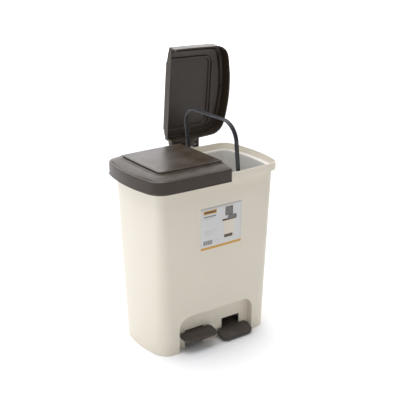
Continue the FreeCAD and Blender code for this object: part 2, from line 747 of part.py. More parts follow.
def inner_bucket(side):
    """Lift-out bucket: a tapered half with a flat wall at the divider, a rim flange and two lugs."""
    name = f"inner_bucket_{SIDE_NAME[side]}"
    rest = f"{LEDGE} + bin_wall"
    bottom = "floor_level + bucket_lift"
    rim = f"{rest} + flange_wall"
    if side > 0:
        x_span = ("bucket_seam + divider_gap / 2", "bin_width")
        x_room = ("bucket_seam + divider_gap / 2 + bucket_wall", "bin_width")
        x_flange = ("bucket_seam + bucket_split / 2", "bin_width")
    else:
        x_span = ("-bin_width", "bucket_seam - divider_gap / 2")
        x_room = ("-bin_width", "bucket_seam - divider_gap / 2 - bucket_wall")
        x_flange = ("-bin_width", "bucket_seam - bucket_split / 2")
    deep, tall = ("-bin_depth", "bin_depth"), ("0", "2 * bin_height")
    shell = common(f"{name}_half", tower(f"{name}_solid", (BUCKET_FOOT, bottom), (BUCKET_TOP, rest)),
                   box(f"{name}_half_box", x_span, deep, tall))
    flange = TOP.grown("flange_reach")
    flange = common(f"{name}_flange", tower(f"{name}_flange_plate", (flange, rest), (flange, rim)),
                    box(f"{name}_flange_box", x_flange, deep, tall))
    inner_foot, inner_top = BUCKET_FOOT.grown("-bucket_wall"), BUCKET_TOP.grown("-bucket_wall")
    room = common(f"{name}_half_room",
                  tower(f"{name}_room", (inner_foot, f"{bottom} + bucket_wall"), (inner_top, rest),
                        (inner_top, f"{rim} + 1")),
                  box(f"{name}_room_box", x_room, deep, tall))
    shell = cut(f"{name}_shell", fuse(f"{name}_outer", shell, flange), room)
    pieces = [shell]
    x_lug = sided(side, "bail_pivot - lug_half", "bail_pivot + lug_half")
    stud_x = f"{side} * bail_pivot"
    outer_face = f"{BAIL_LEG} - bail_wall - lug_gap"
    inner_face = f"{outer_face} - lug_wall"
    for way, tag in ((1, "back"), (-1, "front")):
        y_lug = sided(way, inner_face, outer_face)
        y_stud = sided(way, f"{outer_face} - 1", f"{BAIL_LEG} + lug_gap")
        pieces.append(box(f"{name}_lug_{tag}", x_lug, y_lug, (f"{rim} - 1", f"{BAIL_LEVEL} + lug_rise")))
        pieces.append(cylinder(f"{name}_stud_{tag}", "Y", "stud_radius", *y_stud, (stud_x, BAIL_LEVEL)))
    finish(fuse(f"{name}_finished", *pieces), name)


def bail(side):
    """Strap handle: two eyes on the studs, two legs and a run across the bucket."""
    name = f"bail_{SIDE_NAME[side]}"
    x_span = sided(side, "bail_pivot - bail_width / 2", "bail_pivot + bail_width / 2")

    def bow(tag, grow, span):
        half = f"({BAIL_LEG} + {grow})"
        top = f"({BAIL_LEVEL} + bail_height + {grow})"
        radius = f"(bail_corner + {grow})"
        points = [(f"-{half}", BAIL_LEVEL), (half, BAIL_LEVEL), (half, f"{top} - {radius}"),
                  (f"{half} - {radius}", top), (f"-{half} + {radius}", top), (f"-{half}", f"{top} - {radius}")]
        return profile(f"{name}_{tag}", "YZ", points, span, {2: radius, 4: radius})

    wide = (f"({x_span[0]}) - 1", f"({x_span[1]}) + 1")
    strap = cut(f"{name}_strap", bow("outer", "0", x_span), bow("inner", "-bail_wall", wide))
    eyes, bores = [strap], []
    for way, tag in ((1, "back"), (-1, "front")):
        y_span = sided(way, f"{BAIL_LEG} - bail_wall", BAIL_LEG)
        centre = (f"{side} * bail_pivot", BAIL_LEVEL)
        eyes.append(cylinder(f"{name}_eye_{tag}", "Y", "eye_radius", *y_span, centre))
        bores.append(cylinder(f"{name}_bore_{tag}", "Y", "stud_radius + running_gap",
                              f"({y_span[0]}) - 1", f"({y_span[1]}) + 1", centre))
    solid = cut(f"{name}_finished", fuse(f"{name}_solid", *eyes), *bores)
    angle = -90 if side < 0 else -number("bail_lean")
    finish(solid, name, turned((0, 1, 0), angle, (side * number("bail_pivot"), 0, number(BAIL_LEVEL))))


def pedal(side):
    """Lever on the axle: foot plate and neck in front, arm and tongue behind."""
    name = f"pedal_{SIDE_NAME[side]}"
    centre = PEDAL_X

    def across(half):
        return sided(side, f"{centre} - ({half})", f"{centre} + ({half})")

    half_wall = "(neck_wall / 2)"
    joint_front = "(pedal_front - pedal_length)"
    neck = box(f"{name}_neck", across("neck_width / 2"), (f"-{joint_front} - 2", "axle_back"),
               (f"axle_height - {half_wall}", f"axle_height + {half_wall}"))
    hub = cylinder(f"{name}_hub", "X", "pin_radius + hub_wall", *across("neck_width / 2 - hub_inset"),
                   ("axle_back", "axle_height"))
    half, corner, back = "(pedal_width / 2)", "pedal_corner", "pedal_back_corner"
    points = [(f"-{half} + {corner}", "-pedal_length"), (f"{half} - {corner}", "-pedal_length"),
              (half, f"-pedal_length + {corner}"), (half, f"-{back}"), (f"{half} - {back}", "0"),
              (f"-{half} + {back}", "0"), (f"-{half}", f"-{back}"), (f"-{half}", f"-pedal_length + {corner}")]
    plate = profile(f"{name}_plate", "XY", points, ("0", "tread_wall"), {1: corner, 3: back, 5: back, 7: corner})
    plate.Placement = FreeCAD.Placement(FreeCAD.Vector(), FreeCAD.Rotation(FreeCAD.Vector(1, 0, 0), 1))
    deeper = "(tread_wall - neck_wall)"
    places = (f"{side} * {centre}", f"{deeper} * sin(pedal_slope) - {joint_front}",
              f"axle_height - {half_wall} - {deeper} * cos(pedal_slope)")
    for letter, place in zip("xyz", places):
        bind(plate, f"Placement.Base.{letter}", place)
    bind(plate, "Placement.Rotation.Angle", "pedal_slope")
    end = f"axle_back + {LEVER_REACH}"
    arm = box(f"{name}_arm", across("lever_width / 2"), ("axle_back", f"{end} - tongue_length"),
              ("axle_height - lever_height / 2", "axle_height + lever_height / 2"))
    tongue = box(f"{name}_tongue", across("knuckle_wall / 2"), (f"{end} - tongue_length - 1", end),
                 ("axle_height - nose_radius", "axle_height + nose_radius"))
    nose = cylinder(f"{name}_nose", "X", "nose_radius", *across("knuckle_wall / 2"), (end, "axle_height"))
    solid = fuse(f"{name}_solid", neck, hub, plate, arm, tongue, nose)
    axle_hole = cylinder(f"{name}_axle_hole", "X", AXLE_BORE, *across("neck_width"), ("axle_back", "axle_height"))
    pin_hole = cylinder(f"{name}_pin_hole", "X", "cross_pin_radius + pin_hole_gap", *across("lever_width"),
                        (end, "axle_height"))
    tilt = number(f"asin({HALF_TRAVEL} / {LEVER_REACH})")
    angle = -tilt if side < 0 else tilt
    finish(cut(f"{name}_finished", solid, axle_hole, pin_hole), name,
           turned((1, 0, 0), angle, (0, number("axle_back"), number("axle_height"))))


def pedal_axle():
    label = "pedal_axle"
    rod = cylinder("axle_rod", "X", "pin_radius", "-axle_length / 2", "axle_length / 2",
                   ("axle_back", "axle_height"))
    finish(rod, label)
    caps = []
    for side in (LEFT, RIGHT):
        span = sided(side, "axle_length / 2 - cap_gap - cap_wall", "axle_length / 2 - cap_gap")
        tag = SIDE_NAME[side]
        disc = cylinder(f"cap_disc_{tag}", "X", "pin_radius + cap_rim", *span, ("axle_back", "axle_height"))
        hole = cylinder(f"cap_hole_{tag}", "X", "pin_radius", f"({span[0]}) - 1", f"({span[1]}) + 1",
                        ("axle_back", "axle_height"))
        caps.append(cut(f"axle_cap_{tag}", disc, hole))
    group = new("Part::Compound", "axle_caps")
    group.Links = caps
    finish(group, "axle_caps")


def push_rod(side):
    """Rod with a clevis at each end, over the horn of the lid above and the tongue of the lever below."""
    tag = SIDE_NAME[side]
    x, y = f"{side} * {PEDAL_X}", ROD_BACK
    way = side
    high = f"(hinge_height + {way} * {HALF_TRAVEL})"
    low = f"(axle_height + {way} * {HALF_TRAVEL})"
    rod = cylinder(f"rod_{tag}", "Z", "rod_radius", f"{low} + clevis_slot + 1", f"{high} - clevis_slot - 1", (x, y))
    finish(rod, f"push_rod_{tag}")
    clevises, pins = [], []
    half = "clevis_width / 2"
    for level, up, end in ((high, -1, "top"), (low, 1, "bottom")):
        name = f"clevis_{tag}_{end}"
        far = f"{level} + {up} * clevis_length"
        near = f"{level} - {up} * clevis_nose"
        floor = f"{level} + {up} * clevis_slot"
        past = f"{level} - {up} * (clevis_nose + 1)"
        x_block = (f"{x} - {half}", f"{x} + {half}")
        x_slot = (f"{x} - knuckle_wall / 2 - clevis_gap", f"{x} + knuckle_wall / 2 + clevis_gap")
        y_block = (f"{y} - clevis_depth / 2", f"{y} + clevis_depth / 2")
        y_slot = (f"{y} - clevis_depth", f"{y} + clevis_depth")
        z_block = (far, near) if up < 0 else (near, far)
        z_slot = (floor, past) if up < 0 else (past, floor)
        block = box(name, x_block, y_block, z_block)
        slot = box(name + "_slot", x_slot, y_slot, z_slot)
        seat = (f"{far} - 1", f"{floor} + 1") if up < 0 else (f"{floor} - 1", f"{far} + 1")
        socket = cylinder(name + "_socket", "Z", "rod_radius", *seat, (x, y))
        hole = cylinder(name + "_hole", "X", "cross_pin_radius", f"{x} - clevis_width", f"{x} + clevis_width",
                        (y, level))
        clevises.append(cut(name + "_finished", block, slot, socket, hole))
        pins.append(cylinder(name + "_pin", "X", "cross_pin_radius", f"{x} - {half} - 1", f"{x} + {half} + 1",
                             (y, level)))
    for label, pieces in ((f"rod_clevises_{tag}", clevises), (f"clevis_pins_{tag}", pins)):
        group = new("Part::Compound", label)
        group.Links = pieces
        finish(group, label)


def front_label():
    """Thin label that follows the bowed, tapered front."""
    inner = tower("label_inner", (FOOT, "0"), (TOP, LEDGE))
    outer = tower("label_outer", (FOOT.grown("label_wall"), "0"), (TOP.grown("label_wall"), LEDGE))
    area = box("label_area", ("-label_left", "label_right"), ("-bin_depth", "0"), ("label_bottom", "label_top"))
    finish(cut("label_finished", common("label_patch", outer, area), inner), "front_label")


# ---------------------------------------------------------------- build and write

outer_bin()
hinge_bracket()
plate_screws = [(f"{side} * screw_spacing / 2", SCREW_LEVEL_PLATE, "screw_length + 0.5") for side in (LEFT, RIGHT)]
plate_screws += [(f"{side} * inner_screw", SCREW_LEVEL_PLATE, "screw_length + 4.5") for side in (LEFT, RIGHT)]
screws("hinge_bracket_screws", plate_screws, "plate_wall")
cover_screws = [(f"{side} * screw_spacing / 2", level, "screw_length + 0.5")
                for side in (LEFT, RIGHT) for level in SCREW_LEVELS_COVER]
screws("rear_cover_screws", cover_screws, "cover_wall")
rear_cover()
for hand in (LEFT, RIGHT):
    lid(hand)
    lid_bumpers(hand)
    hinge_pin(hand)
    inner_bucket(hand)
    bail(hand)
    pedal(hand)
    push_rod(hand)
pedal_axle()
front_label()
doc.recompute()

failed = [item.Name for item in doc.Objects if {"Invalid", "Error"} & set(item.State)]
if failed:
    raise RuntimeError("objects that failed: " + ", ".join(failed))
for item in PARTS:
    if item.Shape.isNull() or not item.Shape.isValid() or item.Shape.Volume <= 0:
        raise RuntimeError("bad shape: " + item.Label)
os.makedirs("parts", exist_ok=True)
for item in PARTS:
    item.Shape.exportStep(f"parts/{item.Label}.step")
    print(f"{item.Label}: {len(item.Shape.Solids)} solids, {item.Shape.Volume / 1000:.1f} cm3")
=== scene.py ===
import json
import math

import bmesh
import bpy
from bpy.props import FloatProperty, FloatVectorProperty, PointerProperty
from mathutils import Matrix, Vector


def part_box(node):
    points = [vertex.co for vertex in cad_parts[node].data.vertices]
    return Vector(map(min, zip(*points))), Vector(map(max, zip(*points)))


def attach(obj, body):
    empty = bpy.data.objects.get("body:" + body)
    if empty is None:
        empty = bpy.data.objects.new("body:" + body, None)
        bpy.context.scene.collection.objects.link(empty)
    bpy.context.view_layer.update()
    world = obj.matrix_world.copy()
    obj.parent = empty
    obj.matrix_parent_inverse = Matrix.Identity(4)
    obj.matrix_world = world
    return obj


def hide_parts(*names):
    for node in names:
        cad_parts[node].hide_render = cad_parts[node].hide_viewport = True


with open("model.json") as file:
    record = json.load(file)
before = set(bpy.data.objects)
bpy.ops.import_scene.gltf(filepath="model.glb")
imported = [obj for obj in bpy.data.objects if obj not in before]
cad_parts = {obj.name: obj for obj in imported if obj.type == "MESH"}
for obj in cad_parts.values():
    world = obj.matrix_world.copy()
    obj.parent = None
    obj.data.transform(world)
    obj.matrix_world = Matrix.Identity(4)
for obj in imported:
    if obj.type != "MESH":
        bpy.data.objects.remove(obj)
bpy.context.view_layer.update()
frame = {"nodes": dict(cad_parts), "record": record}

bl_info = {
    "name": "Pedal trash can",
    "version": (1, 0, 0),
    "blender": (4, 5, 0),
    "location": "3D View > Sidebar > Trash can",
    "description": "Builds a pedal trash can with two lids and two lift-out buckets",
    "category": "Object",
}

# ---------------------------------------------------------------- places read from the frame

JOINTS = {joint["name"]: joint for joint in frame["record"]["behaviour"]["joints"]}
BIN_LOW, BIN_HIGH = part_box("outer_bin")
HINGE = Vector(JOINTS["lid_left_hinge"]["pos_m"])
PEDAL_PIVOT = Vector(JOINTS["pedal_left_pivot"]["pos_m"])
LEFT, RIGHT = -1, 1
SIDE_NAME = {LEFT: "left", RIGHT: "right"}
MM = 0.001


def joint_travel(name):
    """The joint's whole range, in radians."""
    low, high = JOINTS[name]["range_deg"]
    return math.radians(high - low)


def flat_side(node, side):
    """X of a node's flat side at the seam, for a node on the left or right of it."""
    low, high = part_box(node)
    return low.x if side > 0 else high.x


def middle_x(node):
    low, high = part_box(node)
    return (low.x + high.x) / 2


# ---------------------------------------------------------------- sizes and colours

def length(name, description, millimetres):
    return FloatProperty(name=name, description=description, default=millimetres * MM, unit="LENGTH")


def colour(name, description, red, green, blue):
    return FloatVectorProperty(name=name, description=description, default=(red, green, blue),
                               size=3, min=0.0, max=1.0, subtype="COLOR")


class BinSizes(bpy.types.PropertyGroup):
    """Sizes of the outer bin and of the buckets in it."""
    wall: length("Wall", "Thickness of the bin's wall", 2.5)
    side_bow: length("Side bow", "How far the short sides bulge", 13.6)
    front_bow: length("Front bow", "How far the front and back bulge", 4.25)
    top_corner: length("Top corner", "Corner radius under the rim", 21)
    foot_corner: length("Foot corner", "Corner radius at the floor", 38)
    taper_x: length("Taper across", "How much narrower each side is at the floor", 9.6)
    taper_y: length("Taper in depth", "How much nearer the front is at the floor", 9.9)
    band_height: length("Band height", "Height of the rim band", 19)
    band_step: length("Band step", "How far the rim band stands out", 9.8)
    deck: length("Deck height", "Height of the raised floor", 56)
    recess_width: length("Recess width", "Width of the toe recess", 214)
    recess_height: length("Recess height", "Height of the toe recess", 91)
    recess_corner: length("Recess corner", "Upper corner radius of the toe recess", 30)
    recess_back: length("Recess back", "Depth from the middle to the recess wall", 72)
    slot_width: length("Slot width", "Width of a pedal's slot", 53)
    slot_height: length("Slot height", "Height of a pedal's slot", 45.5)
    bucket_gap: length("Bucket gap", "Gap between bin and bucket", 3.3)
    bucket_wall: length("Bucket wall", "Thickness of a bucket's wall", 1.8)
    bucket_half_width: length("Bucket half width", "Half the buckets' width at their floor", 146)
    bucket_half_depth: length("Bucket half depth", "Half the buckets' depth at their floor", 62)
    bucket_corner: length("Bucket corner", "Corner radius at the buckets' floor", 16)
    bucket_flange: length("Bucket flange", "How far a bucket's flange lies on the ledge", 5.2)
    post_top: length("Post top", "Height of the posts on the back", 406)
    post_half: length("Post half width", "Half the width of a post", 7)
    boss_half: length("Boss half width", "Half the width of a boss between the posts", 6)
    boss_place: length("Boss place", "From the middle to a boss", 12)


class LidSizes(bpy.types.PropertyGroup):
    """Sizes of the lids."""
    overhang: length("Overhang", "From the bin's wall to the skirt", 17.1)
    drop: length("Drop", "From the bin's rim down to the lid's hem", 18)
    skirt: length("Skirt", "Height of the straight skirt", 26)
    step: length("Step", "Rise from the border to the plateau", 3.6)
    shoulder: length("Shoulder", "Radius of the rounded shoulder", 2.6)
    wall: length("Wall", "Thickness of the lid", 2.4)
    plateau_width: length("Plateau half width", "From the middle to the plateau's end", 148)
    plateau_front: length("Plateau front", "From the middle to the plateau's front edge", 80)
    plateau_back: length("Plateau back", "From the middle to the plateau's back edge", 95)
    plateau_corner: length("Plateau corner", "Corner radius of the plateau", 14)
    groove: length("Groove", "Depth of the line round the plateau", 0.9)
    arm: length("Arm", "Thickness of a hinge arm", 5)
    arm_near: length("Near arm", "From the middle to a lid's nearest arm", 32)
    arm_middle: length("Middle arm", "From the middle to a lid's middle arm", 77)
    arm_far: length("Far arm", "From the middle to a lid's farthest arm", 104)
    knuckle: length("Knuckle", "Radius of the arms round the pin", 6)
    horn_reach: length("Horn reach", "From the pin to the end of the horn's cheeks", 14.5)
    horn_slot: length("Horn slot", "Half the height of the horn's slot", 3)
    horn_half: length("Horn half height", "Half the height of the horn", 5.5)


class HandleSizes(bpy.types.PropertyGroup):
    """Sizes of the bail handles and of the pedals."""
    strap_wall: length("Strap wall", "Thickness of the strap", 3)
    strap_corner: length("Strap corner", "Corner radius of the strap", 45)
    strap_web: length("Strap web", "Thickness between the strap's edge ribs", 1.7)
    strap_half: length("Strap half width", "Half the width of the strap", 5)
    eye_radius: length("Eye radius", "Radius of the strap's round ends", 5.5)
    stud_radius: length("Stud radius", "Radius of the studs that carry the strap", 2)
    lug_half: length("Lug half width", "Half the width of a lug", 8)
    lug_rise: length("Lug rise", "How far a lug stands above its stud's middle", 5)
    pedal_length: length("Pedal length", "Front to back length of a foot plate", 38)
    pedal_wall: length("Pedal wall", "Thickness of a pedal's neck", 6)
    tread_wall: length("Tread wall", "Thickness of a foot plate", 8)
    pedal_front: length("Pedal front", "From the middle to a level foot plate's front", 112)
    pedal_corner: length("Pedal corner", "Front corner radius of a foot plate", 14)
    back_corner: length("Back corner", "Back corner radius of a foot plate", 8)
    pedal_slope: FloatProperty(name="Pedal slope", description="Fall of a foot plate to the front",
                               default=math.radians(13), subtype="ANGLE")
    nose_radius: length("Nose radius", "Radius of a lever's round rear end", 5.5)
    tongue_half: length("Tongue half width", "Half the width of a lever's rear end", 2.5)
    neck_width: length("Neck width", "Width of a pedal's neck", 49)


class FinishColours(bpy.types.PropertyGroup):
    """Colours of the plastics, metals and inks."""
    bin: colour("Bin", "Cream plastic of the outer bin", 0.735, 0.675, 0.565)
    bucket: colour("Bucket", "Pale plastic of the buckets", 0.66, 0.64, 0.59)
    lid: colour("Lid", "Dark brown plastic of the lids", 0.036, 0.024, 0.015)
    pedal: colour("Pedal", "Dark brown plastic of the pedals", 0.032, 0.024, 0.019)
    strap: colour("Strap", "Dark grey plastic of the handles", 0.013, 0.014, 0.018)
    steel: colour("Steel", "Zinc-plated steel", 0.62, 0.62, 0.60)
    rubber: colour("Rubber", "Black rubber of the pads", 0.012, 0.012, 0.012)
    acetal: colour("Acetal", "Off-white plastic of the clevises", 0.72, 0.70, 0.64)
    film: colour("Film", "White film of the label", 0.66, 0.655, 0.645)
    yellow: colour("Yellow ink", "Yellow of the label's blocks", 0.62, 0.33, 0.045)
    brown: colour("Brown ink", "Brown of the label's drawing", 0.10, 0.055, 0.035)
    grey: colour("Grey ink", "Grey of the label's bars", 0.16, 0.155, 0.15)
    pale: colour("Pale ink", "Pale grey of the label's fine bars", 0.47, 0.46, 0.45)


class StageSettings(bpy.types.PropertyGroup):
    """Floor, lights and camera."""
    azimuth: FloatProperty(name="Azimuth", description="Camera's turn round the bin",
                           default=math.radians(-35.2), subtype="ANGLE")
    elevation: FloatProperty(name="Elevation", description="Camera's height angle",
                             default=math.radians(19.78), subtype="ANGLE")
    distance: FloatProperty(name="Distance", description="Camera to target", default=2.0858, unit="LENGTH")
    lens: FloatProperty(name="Lens", description="Focal length in millimetres", default=78.85)
    floor: colour("Floor", "Colour of the floor", 0.94, 0.94, 0.94)
    sky: FloatProperty(name="Sky", description="Strength of the white surroundings", default=0.42)
    backdrop: FloatProperty(name="Backdrop", description="Brightness of the wall behind", default=1.1)
    backdrop_distance: FloatProperty(name="Backdrop distance", description="Wall behind the middle",
                                     default=3.2, unit="LENGTH")
    key_power: FloatProperty(name="Key light", description="Power of the light on the left", default=20.0)
    top_power: FloatProperty(name="Top light", description="Power of the light overhead", default=82.0)
    target: FloatVectorProperty(name="Target", description="Point that the camera looks at", size=3,
                                default=(0.0236, -0.0159, 0.3359), subtype="XYZ", unit="LENGTH")
    shift: FloatVectorProperty(name="Shift", description="Camera's shift across and up", size=2,
                               default=(-0.0175, 0.0016))
    key_colour: colour("Key colour", "Colour of the light on the left", 0.84, 0.89, 1.0)
    top_colour: colour("Top colour", "Colour of the light overhead", 0.95, 0.96, 1.0)


# ---------------------------------------------------------------- bowed outlines

class Bow:
    """A rounded rectangle with bowed sides; shift moves its middle along Y."""

    def __init__(self, half_width, half_depth, side_radius, front_radius, corner, shift=0.0):
        self.values = (half_width, half_depth, side_radius, front_radius, corner, shift)

    def grown(self, amount):
        return Bow(*(value + amount for value in self.values[:5]), self.values[5])

    def mixed(self, other, share):
        return Bow(*(a + (b - a) * share for a, b in zip(self.values, other.values)))


def bowed(half_width, half_depth, side_bow, front_bow, corner):
    side_radius = ((half_depth - front_bow) ** 2 + side_bow ** 2) / (2 * side_bow)
    front_radius = ((half_width - side_bow) ** 2 + front_bow ** 2) / (2 * front_bow)
    return Bow(half_width, half_depth, side_radius, front_radius, corner)


def outlines(context):
    """The bin's outline under the rim and at the floor."""
    can = context.scene.trash_bin
    half_width, half_depth = BIN_HIGH.x - can.band_step, -BIN_LOW.y - can.band_step
    top = bowed(half_width, half_depth, can.side_bow, can.front_bow, can.top_corner)
    foot = bowed(half_width - can.taper_x, half_depth - can.taper_y, can.side_bow, can.front_bow,
                 can.foot_corner)
    return top, foot


SIDE_STEPS, CORNER_STEPS, FRONT_STEPS = 20, 9, 24


def ring(bow, height):
    """The points of a bowed outline, spun arc by arc."""
    half_width, half_depth, side_radius, front_radius, corner, shift = bow.values
    side_centre, front_centre = half_width - side_radius, half_depth - front_radius
    near, far = side_radius - corner, front_radius - corner
    apart = math.hypot(side_centre, front_centre)
    along = (near ** 2 - far ** 2 + apart ** 2) / (2 * apart)
    off = math.sqrt(near ** 2 - along ** 2)
    way = Vector((-side_centre, front_centre)) / apart
    middle = Vector((side_centre, 0)) + way * along
    x, y = max((middle + Vector((-way.y, way.x)) * off * sign for sign in (1, -1)), key=sum)
    low, high = math.atan2(y, x - side_centre), math.atan2(y - front_centre, x)
    arcs = [piece for way in (1, -1) for piece in (
        ((way * side_centre, 0), 2 * low, SIDE_STEPS), ((way * x, way * y), high - low, CORNER_STEPS),
        ((0, way * front_centre), math.pi - 2 * high, FRONT_STEPS),
        ((-way * x, way * y), high - low, CORNER_STEPS))]
    bm = bmesh.new()
    start = (side_centre + side_radius * math.cos(low), shift - side_radius * math.sin(low), height)
    last = bm.verts.new(start)
    for (centre_x, centre_y), angle, count in arcs:
        made = bmesh.ops.spin(bm, geom=[last], cent=(centre_x, centre_y + shift, height), axis=(0, 0, 1),
                              angle=angle, steps=count, use_duplicate=False)
        last = made["geom_last"][0]
    points = [vert.co.copy() for vert in bm.verts if vert is not last]
    bm.free()
    return points


def skin(bm, stations, fill_first=False, fill_last=False, closed=False):
    """A surface through rings, given as (outline, height). Its ends may be filled, or its last ring
    joined to its first."""
    points = ring(*stations[0])
    verts = [bm.verts.new(point) for point in points]
    edges = [bm.edges.new((verts[index - 1], verts[index])) for index in range(len(verts))]
    first, whole = edges, list(verts)
    for bow, height in stations[1:] + (stations[:1] if closed else []):
        made = bmesh.ops.extrude_edge_only(bm, edges=edges)["geom"]
        fresh = {tuple(item.co): item for item in made if isinstance(item, bmesh.types.BMVert)}
        verts = [fresh[tuple(vert.co)] for vert in verts]
        edges = [item for item in made if isinstance(item, bmesh.types.BMEdge)]
        for vert, point in zip(verts, ring(bow, height)):
            vert.co = point
        whole += verts
    if fill_first:
        bmesh.ops.edgeloop_fill(bm, edges=first)
    if fill_last:
        bmesh.ops.edgeloop_fill(bm, edges=edges)
    if closed:
        bmesh.ops.remove_doubles(bm, verts=whole, dist=1e-6)


def rounded(points, steps=4):
    """A path of (out, height) through corners given as (out, height, radius)."""
    path = []
    for index, (out, height, radius) in enumerate(points):
        here = Vector((out, height))
        if radius <= 0 or index in (0, len(points) - 1):
            path.append(here)
            continue
        before = (Vector(points[index - 1][:2]) - here).normalized()
        after = (Vector(points[index + 1][:2]) - here).normalized()
        half = before.angle(after) / 2
        reach = radius / math.tan(half)
        centre = here + (before + after).normalized() * (radius / math.sin(half))
        start, end = here + before * reach - centre, here + after * reach - centre
        turn = start.angle_signed(end)
        for step in range(steps + 1):
            path.append(centre + Matrix.Rotation(-turn * step / steps, 2) @ start)
    return path


# ---------------------------------------------------------------- mesh helpers

def block(bm, low, high, bevel=0.0, segments=2):
    """A box between two corners, with rounded edges."""
    low, high = Vector(low), Vector(high)
    made = bmesh.ops.create_cube(bm, size=1.0)["verts"]
    bmesh.ops.scale(bm, vec=high - low, verts=made)
    bmesh.ops.translate(bm, vec=(low + high) / 2, verts=made)
    if bevel:
        edges = {edge for vert in made for edge in vert.link_edges}
        made = bmesh.ops.bevel(bm, geom=list(edges), offset=bevel, segments=segments, affect="EDGES",
                               profile=0.5, material=-1)["verts"]
    return made


def across(side, low, high):
    """A span of X on the right, or its mirror image on the left."""
    return (low, high) if side > 0 else (-high, -low)


AXIS_TURN = {"X": Matrix.Rotation(math.pi / 2, 4, "Y"), "Y": Matrix.Rotation(math.pi / 2, 4, "X")}


def round_bar(bm, axis, radius, start, end, place, bevel=0.0, segments=40):
    """A round bar along an axis between two values of that axis, through place."""
    depth = end - start
    middle = Vector(place)
    middle["XYZ".index(axis)] = (start + end) / 2
    made = bmesh.ops.create_cone(bm, cap_ends=True, segments=segments, radius1=radius, radius2=radius,
                                 depth=depth, matrix=Matrix.Translation(middle) @ AXIS_TURN[axis])["verts"]
    if bevel:
        rims = [edge for edge in {e for v in made for e in v.link_edges}
                if any(len(face.verts) > 4 for face in edge.link_faces)]
        bmesh.ops.bevel(bm, geom=rims, offset=bevel, segments=2, affect="EDGES", profile=0.5, material=-1)
    return made


def plate(bm, points, x_span, bevel=0.0):
    """A flat plate with an outline of (y, z) points, over a span of X."""
    face = bm.faces.new([bm.verts.new((x_span[0], y, z)) for y, z in points])
    made = bmesh.ops.extrude_face_region(bm, geom=[face], use_keep_orig=True)["geom"]
    moved = [item for item in made if isinstance(item, bmesh.types.BMVert)]
    bmesh.ops.translate(bm, vec=(x_span[1] - x_span[0], 0, 0), verts=moved)
    if bevel:
        corners = set(moved) | set(face.verts)
        edges = {edge for vert in corners for edge in vert.link_edges}
        bmesh.ops.bevel(bm, geom=list(edges), offset=bevel, segments=2, affect="EDGES", profile=0.5,
                        material=-1)


def slide(bm, loop, way):
    """Extrudes a loop of edges along a vector and returns the new loop."""
    made = bmesh.ops.extrude_edge_only(bm, edges=loop)["geom"]
    verts = {item for item in made if isinstance(item, bmesh.types.BMVert)}
    bmesh.ops.translate(bm, vec=way, verts=list(verts))
    return [item for item in made if isinstance(item, bmesh.types.BMEdge) and set(item.verts) <= verts]


def turn(bm, loop, centre, axis, angle, steps):
    """Spins a loop of edges about an axis and returns the last loop."""
    verts = list({vert for edge in loop for vert in edge.verts})
    made = bmesh.ops.spin(bm, geom=verts + loop, cent=centre, axis=axis, angle=angle, steps=steps,
                          use_duplicate=False)["geom_last"]
    return [item for item in made if isinstance(item, bmesh.types.BMEdge)]


def about(point, axis, angle):
    """A turn by an angle about an axis through a point."""
    return Matrix.Translation(point) @ Matrix.Rotation(angle, 4, axis) @ Matrix.Translation(-Vector(point))


def shade_smooth(mesh):
    """Smooth shading, with the steeper edges kept sharp."""
    mesh.polygons.foreach_set("use_smooth", [True] * len(mesh.polygons))
    mesh.set_sharp_from_angle(angle=math.radians(32))


def finish_piece(bm, name, body, material, replaced=(), move=None, outward=True):
    """Turns a bmesh into a piece of the trash can that rides on a body."""
    if outward:
        bmesh.ops.remove_doubles(bm, verts=bm.verts[:], dist=0.00001)
        bmesh.ops.recalc_face_normals(bm, faces=bm.faces[:])
    if move is not None:
        bmesh.ops.transform(bm, matrix=move, verts=bm.verts[:])
    mesh = bpy.data.meshes.new(name)
    bm.to_mesh(mesh)
    bm.free()
    shade_smooth(mesh)
    piece = bpy.data.objects.new(name, mesh)
    bpy.context.collection.objects.link(piece)
    for item in material if isinstance(material, (list, tuple)) else [material]:
        mesh.materials.append(item)
    if replaced:
        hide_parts(*replaced)
    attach(piece, body)
    return piece


def soften(piece, width):
    edge = piece.modifiers.new("edges", "BEVEL")
    edge.width = width
    edge.segments = 2
    edge.limit_method = "ANGLE"
    edge.angle_limit = math.radians(50)
    edge.harden_normals = True


# ---------------------------------------------------------------- shader groups

def group_tree(name, inputs, outputs):
    """A new shader group with float inputs (name, default) and outputs (name, socket type)."""
    tree = bpy.data.node_groups.new(name, "ShaderNodeTree")
    for label, default in inputs:
        socket = tree.interface.new_socket(label, in_out="INPUT", socket_type="NodeSocketFloat")
        socket.default_value = default
    for label, kind in outputs:
        tree.interface.new_socket(label, in_out="OUTPUT", socket_type=kind)
    return tree, tree.nodes.new("NodeGroupInput"), tree.nodes.new("NodeGroupOutput")


def add(tree, kind, links=None, **values):
    """A node with its properties set; links maps input names or numbers to sockets or values."""
    node = tree.nodes.new(kind)
    for key, value in values.items():
        setattr(node, key, value)
    for key, value in (links or {}).items():
        if isinstance(value, bpy.types.NodeSocket):
            tree.links.new(value, node.inputs[key])
        else:
            node.inputs[key].default_value = value
    return node


def math_node(tree, operation, first, second):
    return add(tree, "ShaderNodeMath", {0: first, 1: second}, operation=operation).outputs[0]


def product(tree, *values):
    result = values[0]
    for value in values[1:]:
        result = math_node(tree, "MULTIPLY", result, value)
    return result


def blend(tree, first, second):
    """Three parts of the first value and two of the second."""
    return math_node(tree, "ADD", product(tree, first, 0.6), product(tree, second, 0.4))


def noise(tree, place, scale, detail, roughness, distortion=0.0):
    return add(tree, "ShaderNodeTexNoise", {"Vector": place, "Scale": scale, "Detail": detail,
                                            "Roughness": roughness, "Distortion": distortion}).outputs["Fac"]


def object_place(tree):
    return add(tree, "ShaderNodeTexCoord").outputs["Object"]


